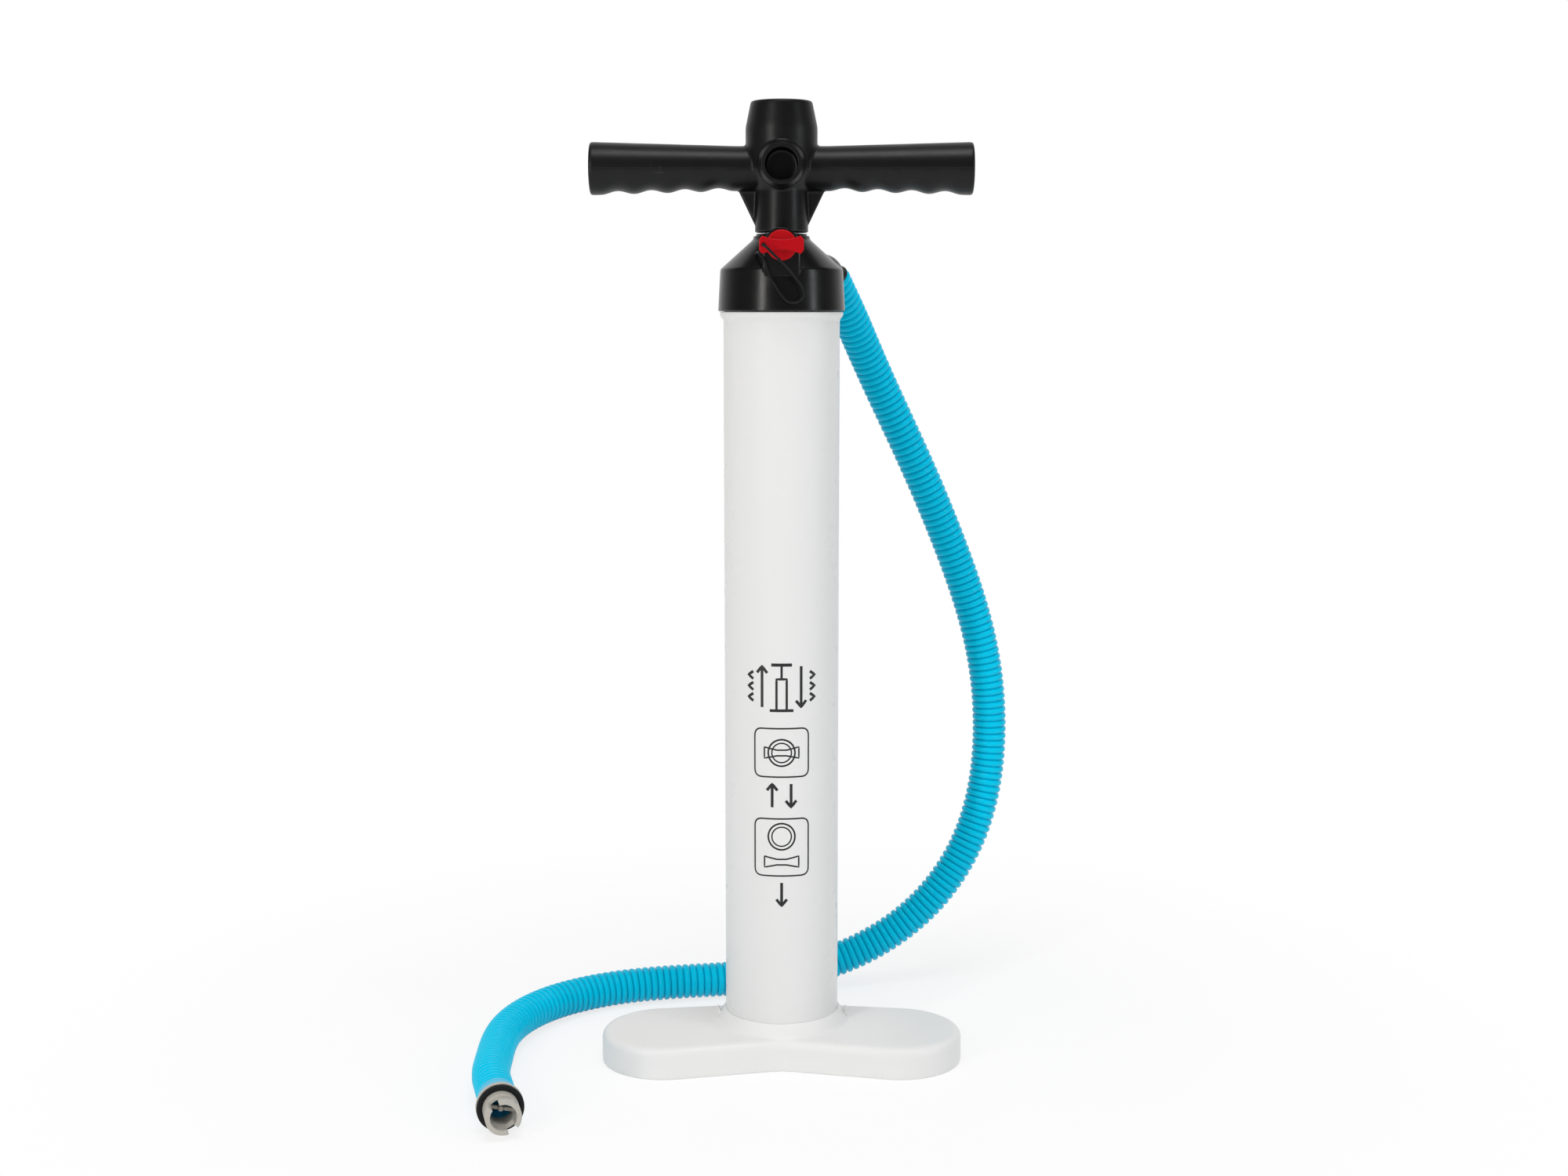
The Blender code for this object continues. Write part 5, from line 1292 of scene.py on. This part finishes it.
@dataclass
class Barrel:
    """The white tube with its lip, its neck and the marks printed on it."""

    radius: float = 0.0365
    bore: float = 0.0343
    foot: float = 0.0063
    shoulder: float = 0.4795
    lip_radius: float = 0.0386
    lip_height: float = 0.0024
    lip_chamfer: float = 0.0028
    neck_radius: float = 0.036
    neck_top: float = 0.497
    ink_half: float = 0.00058
    ink_proud: float = 0.00006
    ink_step: float = 0.0015
    bold: float = 1.6
    arrow_head: float = 0.0042
    frame_corner: float = 0.005
    frame_half: float = 0.0175

    def build_tube(self) -> Object:
        """Model the tube."""
        lip_foot = self.shoulder - self.lip_height
        profile = rounded([
            (self.bore, self.foot, 0.0003), (self.radius, self.foot, 0.0005),
            (self.radius, lip_foot - self.lip_chamfer, 0.0012), (self.lip_radius, lip_foot, 0.0008),
            (self.lip_radius, self.shoulder, 0.0006), (self.neck_radius, self.shoulder, 0.0002),
            (self.neck_radius, self.neck_top, 0.0004), (self.bore, self.neck_top, 0.0003)])
        return piece("barrel_tube", spun(profile, 160), Finishes.TUBE, Body.PUMP, ["barrel"],
                     CRISP)

    def stroke(self, points: Sequence[Point], width: float = 1.0) -> Form:
        """Return a printed line, wrapped on the barrel's front.

        Args:
            points: The line, as distance to the right round the barrel and height.
            width: Its width, in widths of the usual line.

        Returns:
            The line.
        """
        close = []
        for (x0, z0), (x1, z1) in zip(points, points[1:]):
            steps = max(1, math.ceil(math.hypot(x1 - x0, z1 - z0) / self.ink_step))
            close += [(x0 + (x1 - x0) * step / steps, 0.0, z0 + (z1 - z0) * step / steps)
                      for step in range(steps)]
        close.append((points[-1][0], 0.0, points[-1][1]))
        bm = tube(close, [self.ink_half * width] * len(close), 2)
        for vert in bm.verts:
            angle = vert.co.x / self.radius
            away = self.radius - vert.co.y * self.ink_proud / (self.ink_half * width)
            vert.co = (away * math.sin(angle), -away * math.cos(angle), vert.co.z)
        bmesh.ops.recalc_face_normals(bm, faces=bm.faces)
        return bm

    def arrow(self, x: float, low: float, high: float, up: bool) -> list[Form]:
        """Return an upright arrow.

        Args:
            x: Its place round the barrel.
            low: Height of its lower end.
            high: Height of its upper end.
            up: Whether it points up.

        Returns:
            Its printed lines.
        """
        head = self.arrow_head
        side = head * 0.8
        tip, back = (high, high - head) if up else (low, low + head)
        return [self.stroke([(x, low), (x, high)], self.bold),
                self.stroke([(x - side, back), (x, tip), (x + side, back)], self.bold)]

    def plug_mark(self, x: float, z: float, fitted: bool) -> list[Form]:
        """Return a line drawing of the plug's port.

        Args:
            x: Its place round the barrel.
            z: Height of its middle.
            fitted: Whether the plug's wing lies across it.

        Returns:
            Its printed lines.
        """
        lines = [self.stroke(arc((x, z), 0.0085, 0.0, 360.0, 40)),
                 self.stroke(arc((x, z), 0.0062, 0.0, 360.0, 32), 0.8)]
        upper = [(-0.0110, 0.0036), (-0.0030, 0.0018), (0.0030, 0.0018), (0.0110, 0.0036)]
        level = z if fitted else z - 0.0165
        wing = [(x + dx, level + dz) for dx, dz in upper + [(-dx, -dz) for dx, dz in upper]]
        return lines + [self.stroke(wing + wing[:1], 0.9)]

    def frame_mark(self, z: float, half_height: float) -> Form:
        """Return a frame with rounded corners.

        Args:
            z: Height of its middle.
            half_height: Half of its height.

        Returns:
            The frame's printed line.
        """
        half, soft = self.frame_half, self.frame_corner
        low, high = z - half_height, z + half_height
        outline = rounded([(-half, low, soft), (half, low, soft), (half, high, soft), (-half, high, soft)], 8)
        return self.stroke(outline + outline[:1], 0.9)

    def pump_mark(self, z: float) -> list[Form]:
        """Return a small sign of a pump: handle, rod, barrel and foot.

        Args:
            z: Height of its foot.

        Returns:
            Its printed lines.
        """
        barrel = [(-0.0032, z), (-0.0032, z + 0.020), (0.0032, z + 0.020), (0.0032, z)]
        return [self.stroke([(-0.0075, z), (0.0075, z)], self.bold), self.stroke(barrel, 1.3),
                self.stroke([(0.0, z + 0.020), (0.0, z + 0.029)], 1.3),
                self.stroke([(-0.0065, z + 0.029), (0.0065, z + 0.029)], 1.8)]

    def build_print(self) -> Object:
        """Model the marks: pump sign, two-way stroke for a fitted plug, one-way stroke for a drawn one."""
        lines = self.pump_mark(0.2320)
        lines += self.arrow(-0.0125, 0.2340, 0.2600, True) + self.arrow(0.0125, 0.2340, 0.2600, False)
        for side in (-1, 1):
            for row in (0.2400, 0.2470, 0.2540):
                near = side * 0.0185
                chevron = [(near, row + 0.0024), (near + side * 0.0036, row), (near, row - 0.0024)]
                lines.append(self.stroke(chevron, self.bold))
        lines.append(self.frame_mark(0.2050, 0.0155))
        lines += self.plug_mark(0.0, 0.2050, True)
        lines += self.arrow(-0.0060, 0.1700, 0.1850, True) + self.arrow(0.0060, 0.1700, 0.1850, False)
        lines.append(self.frame_mark(0.1440, 0.0185))
        lines += self.plug_mark(0.0, 0.1510, False)
        lines += self.arrow(0.0, 0.1060, 0.1210, False)
        return piece("barrel_print", merged(lines), Finishes.INK, Body.PUMP)

    def build(self) -> list[Object]:
        """Model the tube and its print."""
        return [self.build_tube(), self.build_print()]


@dataclass
class Cap:
    """The black cap with its plug boss, hose boss and the ring round the rod."""

    elbow: Elbow
    skirt_foot: float = 0.4798
    skirt_foot_radius: float = 0.0398
    skirt_top: float = 0.5057
    skirt_top_radius: float = 0.0384
    skirt_bore: float = 0.0363
    seat: float = 0.4990
    chamber: float = 0.0343
    cone_top: float = 0.5243
    neck_radius: float = 0.0176
    top: float = 0.5264
    wall: float = 0.0035
    sleeve: float = 0.015
    sleeve_bore: float = 0.0120
    sleeve_foot: float = 0.5060
    keeper_hole: float = 0.0148
    keeper_seat: float = 0.5235
    keeper_radius: float = 0.0145
    keeper_flange: float = 0.016
    keeper_rise: float = 0.0011
    rod_hole: float = 0.0096
    port_height: float = 0.5196
    boss_radius: float = 0.0108
    boss_front: float = 0.041
    boss_back: float = 0.0188
    port_bore: float = 0.006
    port_depth: float = 0.0195
    hose_boss_face: float = 0.0442
    hose_boss_radius: float = 0.0112
    hose_hole: float = 0.0081

    @property
    def slope(self) -> float:
        """Rise of the cone for each unit inwards."""
        return (self.cone_top - self.skirt_top) / (self.skirt_top_radius - self.neck_radius)

    def under_cone(self, radius: float) -> float:
        """Return the height of the cone's inner face at a radius."""
        drop = self.wall * math.hypot(1.0, self.slope)
        return self.skirt_top + (self.skirt_top_radius - radius) * self.slope - drop

    def shell_form(self) -> Form:
        """Return the turned shell: skirt, cone, neck and inner sleeve."""
        root = self.sleeve + 0.0015
        ceiling = self.under_cone(root)
        shelf = max(self.seat + 0.0002, self.under_cone(self.chamber))
        corners = [
            (self.keeper_hole, self.top, 0.0002), (self.neck_radius, self.top, 0.0009),
            (self.neck_radius, self.cone_top, 0.0010), (self.skirt_top_radius, self.skirt_top, 0.0010),
            (self.skirt_foot_radius, self.skirt_foot, 0.0006), (self.skirt_bore, self.skirt_foot, 0.0003),
            (self.skirt_bore, self.seat, 0.0), (self.chamber, self.seat, 0.0), (self.chamber, shelf, 0.0),
            (root, ceiling, 0.0), (self.sleeve, ceiling, 0.0), (self.sleeve, self.sleeve_foot, 0.0),
            (self.sleeve_bore, self.sleeve_foot, 0.0), (self.sleeve_bore, self.keeper_seat, 0.0),
            (self.keeper_hole, self.keeper_seat, 0.0)]
        return spun(rounded(corners), 128)

    def trimmed(self, bm: Form, way: Vector) -> Form:
        """Trim a boss along the inside of the cone.

        Args:
            bm: The boss.
            way: Its outward direction in plan.

        Returns:
            The trimmed boss.
        """
        normal = Vector((way.x * self.slope, way.y * self.slope, 1.0)).normalized()
        point = way * self.skirt_top_radius + Vector((0, 0, self.skirt_top - self.wall * 0.75))
        whole = bm.verts[:] + bm.edges[:] + bm.faces[:]
        bmesh.ops.bisect_plane(bm, geom=whole, plane_co=point, plane_no=normal, clear_inner=True)
        bmesh.ops.holes_fill(bm, edges=[edge for edge in bm.edges if edge.is_boundary])
        bmesh.ops.recalc_face_normals(bm, faces=bm.faces)
        return bm

    def build_shell(self) -> Object:
        """Model the cap in one moulding."""
        arch = arc((0.0, self.port_height), self.boss_radius, 0.0, 180.0, 40)
        arch += [(-self.boss_radius, self.skirt_foot), (self.boss_radius, self.skirt_foot)]
        boss = extruded(arch, self.boss_back, self.boss_front, Matrix.Rotation(math.pi / 2, 4, "X"))
        way = self.elbow.way
        port = Vector((0, 0, self.elbow.port_height))
        wall = self.skirt_bore + GAP
        lower = bar(port + way * wall, port + way * self.hose_boss_face, self.hose_boss_radius, 64)
        upper = bar(port + way * self.keeper_radius, port + way * (wall + self.wall),
                    self.hose_boss_radius - GAP, 64)
        bore = bar((0, -self.boss_front * 2, self.port_height),
                   (0, self.port_depth - self.boss_front, self.port_height), self.port_bore, 48)
        hole = bar(port + way * (self.chamber - self.wall * 2), port + way * self.hose_boss_face * 2,
                   self.hose_hole, 48)
        steps = [(Step.JOIN, self.trimmed(boss, Vector((0, -1, 0)))), (Step.JOIN, lower),
                 (Step.JOIN, self.trimmed(upper, way)), (Step.CUT, bore), (Step.CUT, hole)]
        form = softened(combined(self.shell_form(), steps), 0.0005, 2)
        return piece("cap_moulding", form, Finishes.CAP, Body.PUMP, ["top_cap"])

    def build_keeper(self) -> Object:
        """Model the flanged ring that keeps the rod's seal in the cap's neck."""
        low = self.keeper_seat + GAP
        high = self.top + self.keeper_rise
        seat = self.top + GAP
        profile = rounded([(self.rod_hole, low, 0.0002), (self.keeper_radius, low, 0.0002),
                           (self.keeper_radius, seat, 0.0), (self.keeper_flange, seat, 0.0002),
                           (self.keeper_flange, high, 0.0003), (self.rod_hole, high, 0.0004)])
        return piece("keeper_ring", spun(profile, 96), Finishes.CAP, Body.PUMP,
                     ["seal_keeper"], CRISP)

    def build(self) -> list[Object]:
        """Model the cap and its ring."""
        return [self.build_shell(), self.build_keeper()]


@dataclass
class Plug:
    """The red plug with its bow-tie wing, and the gasket behind it."""

    axis_height: float = 0.5196
    seat: float = 0.041
    gasket: float = 0.0016
    gasket_radius: float = 0.0086
    disc_radius: float = 0.0093
    disc: float = 0.0028
    stub_radius: float = 0.0057
    stub: float = 0.0125
    wing_half: float = 0.01345
    wing_end_half: float = 0.00545
    wing_waist_half: float = 0.0029
    wing_corner: float = 0.0019
    wing: float = 0.005
    hole_x: float = -0.0108
    hole_radius: float = 0.0013

    @property
    def place(self) -> Matrix:
        """Where the plug's own axes stand, with its face towards the front."""
        return Matrix.Translation((0, -self.seat, self.axis_height)) @ Matrix.Rotation(math.pi / 2, 4, "X")

    def wing_outline(self) -> list[Point]:
        """Return the wing's outline, swept in to its waist."""
        rise = self.wing_end_half - self.wing_waist_half
        half = self.wing_half - self.wing_corner
        flat = self.wing_end_half * 0.6
        steps = 24
        edge = []
        for step in range(steps + 1):
            x = half - 2.0 * half * step / steps
            edge.append((x, self.wing_waist_half + rise * (x / half) ** 2))
        right = [(self.wing_half, -flat), (self.wing_half, flat)]
        left = [(-x, -y) for x, y in right]
        return right + edge + left + [(-x, -y) for x, y in edge]

    def build_plug(self) -> Object:
        """Model the disc, stub and wing in one moulding, with the hole for the tether."""
        foot = GAP + self.gasket + GAP
        top = foot + self.disc
        edge = 0.0007
        profile = [(0.0, top), (self.disc_radius - edge, top), (self.disc_radius, top - edge),
                   (self.disc_radius, foot), (self.stub_radius, foot), (self.stub_radius, foot - self.stub),
                   (0.0, foot - self.stub)]
        wing = extruded(self.wing_outline(), foot + edge, top + self.wing)
        hole = bar((self.hole_x, 0, 0), (self.hole_x, 0, top + self.wing * 2), self.hole_radius, 24)
        form = softened(combined(spun(profile, 72), [(Step.JOIN, wing), (Step.CUT, hole)]), 0.00028, 3)
        form.transform(self.place)
        return piece("plug_moulding", form, Finishes.RED, Body.PLUG, ["mode_plug"])

    def build_gasket(self) -> Object:
        """Model the gasket behind the disc."""
        profile = ring_profile(self.stub_radius + GAP, self.gasket_radius, GAP, GAP + self.gasket, 0.0005)
        return piece("plug_seal_ring", spun(profile, 72, self.place), Finishes.RUBBER, Body.PLUG_SEAL,
                     ["plug_gasket"])

    def build(self) -> list[Object]:
        """Model the plug and its gasket."""
        return [self.build_plug(), self.build_gasket()]


@dataclass
class Handle:
    """The T handle with its rod and the screw that joins them."""

    foot: float = HANDLE_LOW.z
    half_length: float = HANDLE_HIGH.x
    grip_rise: float = GRIP_RISE
    root_radius: float = 0.0136
    end_radius: float = 0.0163
    end_wall: float = 0.0053
    bore_depth: float = 0.074
    finger_first: float = 0.0396
    finger_pitch: float = 0.0208
    finger_count: int = 4
    finger_depth: float = 0.0021
    foot_radius: float = 0.01665
    waist_radius: float = 0.01575
    waist_rise: float = 0.0277
    head_radius: float = 0.02235
    head_rise: float = 0.0377
    head_top_radius: float = 0.019
    shoulder_rise: float = 0.0642
    height: float = 0.0803
    socket_radius: float = 0.016
    socket_depth: float = 0.0225
    boss_rise: float = 0.0407
    boss_reach: float = 0.029
    boss_radius: float = 0.0143
    rim_radius: float = 0.0125
    hole_radius: float = 0.0104
    hole_depth: float = 0.022
    rim_proud: float = 0.0005
    gusset_foot: float = 0.017
    gusset_top: float = 0.02635
    gusset_foot_rise: float = 0.0053
    gusset_drop: float = 0.0146
    gusset: float = 0.004
    rod_radius: float = 0.009
    rod_bore: float = 0.007
    rod_foot: float = 0.0333
    rod_depth: float = 0.024
    screw_rise: float = 0.0127
    screw_radius: float = 0.0019
    screw_head: float = 0.0036
    screw_head_height: float = 0.0022

    @property
    def grip_height(self) -> float:
        """Height of the grips' axis."""
        return self.foot + self.grip_rise

    @property
    def boss_place(self) -> Matrix:
        """Where the front boss's own axes stand."""
        return Matrix.Translation((0, 0, self.foot + self.boss_rise)) @ Matrix.Rotation(math.pi / 2, 4, "X")

    def bar_form(self) -> Form:
        """Return both grips as one bar, flared to its ends, with finger grooves below."""
        sides = 64
        lead = self.finger_first - self.finger_pitch / 2
        last = lead + self.finger_count * self.finger_pitch
        count = 12 * self.finger_count
        stations = [lead + (last - lead) * step / count for step in range(count + 1)]
        edge = 0.0009
        stations += [self.half_length - edge * 2, self.half_length - edge * 0.7, self.half_length]
        shrink = {self.half_length: edge, self.half_length - edge * 0.7: edge * 0.25}
        bm = bmesh.new()
        rings = []
        face_along = Matrix.Rotation(math.pi / 2, 4, "Y")
        for x in [-value for value in reversed(stations)] + stations:
            reach = abs(x)
            share = max(0.0, (reach - self.head_radius) / (self.half_length - self.head_radius))
            radius = self.root_radius + (self.end_radius - self.root_radius) * share - shrink.get(reach, 0.0)
            made = bmesh.ops.create_circle(bm, segments=sides, radius=radius,
                                           matrix=Matrix.Translation((x, 0, self.grip_height)) @ face_along)
            if lead < reach < last:
                wave = 1.0 - math.cos(math.tau * (reach - lead) / self.finger_pitch)
                dip = self.finger_depth * 0.5 * wave
                for vert in made["verts"]:
                    low = max(0.0, (self.grip_height - vert.co.z) / radius)
                    pull = dip * low ** 1.5 / radius
                    vert.co.y *= 1.0 - pull
                    vert.co.z += (self.grip_height - vert.co.z) * pull
            ring = list(dict.fromkeys(item for vert in made["verts"] for item in vert.link_edges))
            if rings:
                bmesh.ops.bridge_loops(bm, edges=rings[-1] + ring)
            rings.append(ring)
        bmesh.ops.holes_fill(bm, edges=[item for item in bm.edges if item.is_boundary])
        bmesh.ops.recalc_face_normals(bm, faces=bm.faces)
        return bm

    def hub_form(self) -> Form:
        """Return the turned hub: head, waist and skirt round the rod."""
        top = self.foot + self.height
        corners = [(0.0, top, 0.0), (self.head_top_radius, top, 0.0014),
                   (self.head_radius, self.foot + self.shoulder_rise, 0.002),
                   (self.head_radius, self.foot + self.head_rise, 0.002),
                   (self.waist_radius, self.foot + self.waist_rise, 0.003),
                   (self.foot_radius, self.foot, 0.001), (0.0, self.foot, 0.0)]
        return spun(rounded(corners), 128)

    def boss_form(self) -> Form:
        """Return the front boss with its stepped rim."""
        front = self.boss_reach
        step = 0.0024
        corners = [(0.0, 0.0, 0.0), (self.boss_radius + 0.0004, 0.0, 0.0),
                   (self.boss_radius, front - step * 1.6, 0.0008),
                   (self.rim_radius + 0.0006, front - step, 0.0005), (self.rim_radius, front, 0.0008),
                   (0.0, front, 0.0)]
        return spun(rounded(corners), 96, self.boss_place)

    def rim_form(self) -> Form:
        """Return the crisp rim round the front boss's socket."""
        front = self.boss_reach + self.rim_proud
        back = front - 0.003
        inner = self.hole_radius - GAP
        edge = self.rim_proud * 0.8
        corners = [(inner, back, 0.0), (self.rim_radius, back, 0.0), (self.rim_radius, front, edge),
                   (inner, front, edge)]
        return spun(rounded(corners), 96, self.boss_place)

    def gusset_form(self, side: int) -> Form:
        """Return one of the plates between skirt and grip.

        Args:
            side: 1 for the right one and -1 for the left one.

        Returns:
            The plate.
        """
        low = self.foot + self.gusset_foot_rise
        high = self.grip_height
        inner = self.waist_radius / 2
        outline = [(side * inner, low), (side * self.gusset_foot, low),
                   (side * self.gusset_top, high - self.gusset_drop), (side * self.gusset_top, high),
                   (side * inner, high)]
        return extruded(outline, -self.gusset / 2, self.gusset / 2, Matrix.Rotation(math.pi / 2, 4, "X"))

    def build_handle(self) -> Object:
        """Model the handle in one moulding."""
        top = self.foot + self.height
        boss = self.foot + self.boss_rise
        screw = self.foot + self.screw_rise
        seat = self.waist_radius - self.screw_head_height
        mouth = self.end_radius - self.end_wall
        floor = self.half_length - self.bore_depth
        end = self.half_length + GAP
        joined = [self.hub_form(), self.boss_form(), self.gusset_form(1), self.gusset_form(-1)]
        bores = [bar((0, 0, top - self.socket_depth), (0, 0, top * 2), self.socket_radius, 96),
                 bar((0, -self.boss_reach * 2, boss), (0, self.hole_depth - self.boss_reach, boss),
                     self.hole_radius, 80),
                 bar((0, 0, self.foot / 2), (0, 0, self.foot + self.rod_depth), self.rod_radius + GAP, 80),
                 bar((0, seat, screw), (0, seat * 2, screw), self.screw_head + GAP, 32)]
        for side in (-1, 1):
            bores.append(bar((side * floor, 0, self.grip_height), (side * end, 0, self.grip_height),
                             mouth * 0.9, 64, mouth))
        steps = [(Step.JOIN, solid) for solid in joined] + [(Step.CUT, bore) for bore in bores]
        form = merged([softened(combined(self.bar_form(), steps), 0.00075, 2), self.rim_form()])
        return piece("handle_moulding", form, Finishes.GRIP, Body.HANDLE, ["handle"])

    def build_rod(self) -> Object:
        """Model the hollow rod."""
        top = self.foot + self.rod_depth - GAP
        profile = rounded([(self.rod_bore, self.rod_foot, 0.0003), (self.rod_radius, self.rod_foot, 0.0004),
                           (self.rod_radius, top, 0.0004), (self.rod_bore, top, 0.0003)])
        return piece("rod_tube", spun(profile, 96), Finishes.ROD, Body.HANDLE, ["piston_rod"],
                     CRISP)

    def build_screw(self) -> Object:
        """Model the pan-head screw with its cross recess."""
        seat = self.waist_radius - self.screw_head_height + GAP
        high = self.screw_head_height
        length = seat + self.rod_radius
        profile = rounded([(0.0, high, 0.0), (self.screw_head, high, 0.0011), (self.screw_head, 0.0, 0.0002),
                           (self.screw_radius, 0.0, 0.0), (self.screw_radius, -length, 0.0003),
                           (0.0, -length, 0.0)])
        half = self.screw_head * 0.13
        reach = self.screw_head * 0.6
        steps = [(Step.CUT, block((-reach, -half, high * 0.45), (reach, half, high * 2))),
                 (Step.CUT, block((-half, -reach, high * 0.46), (half, reach, high * 2)))]
        form = combined(spun(profile, 48), steps)
        place = Matrix.Translation((0, seat, self.foot + self.screw_rise))
        form.transform(place @ Matrix.Rotation(-math.pi / 2, 4, "X"))
        return piece("screw_pan_head", form, Finishes.STEEL, Body.HANDLE, ["handle_screw"], 35.0)

    def build(self) -> list[Object]:
        """Model the handle, rod and screw."""
        return [self.build_handle(), self.build_rod(), self.build_screw()]


@dataclass
class Works:
    """The hidden pieces, which keep their solids."""

    finishes: tuple[tuple[Finish, tuple[str, ...]], ...] = (
        (Finishes.ROD, ("inner_cylinder",)),
        (Finishes.INNER, ("cylinder_seat", "valve_plate", "rod_guide_bush", "piston_wear_band")),
        (Finishes.GREY, ("piston", "piston_nut")),
        (Finishes.DISC, ("intake_disc",)),
        (Finishes.RUBBER, ("seat_seal", "cap_gasket", "rod_seal", "inlet_flap", "outlet_flap", "piston_ring",
                           "stroke_bumper")),
    )

    def dress(self) -> None:
        """Give each hidden solid its finish."""
        for finish, names in self.finishes:
            for name in names:
                mesh = frame["nodes"][name].data
                mesh.materials.clear()
                mesh.materials.append(finish.material())
                LOG.info("%s: %s", name, finish.name)


def main() -> None:
    """Build the studio and every piece of the pump."""
    Studio().build()
    elbow = Elbow()
    end = HoseEnd()
    end.build()
    Hose(elbow, end).build()
    Tether().build()
    elbow.build()
    Handle().build()
    Cap(elbow).build()
    Plug().build()
    Barrel().build()
    Foot().build()
    Works().dress()


if __name__ == "__main__":
    main()
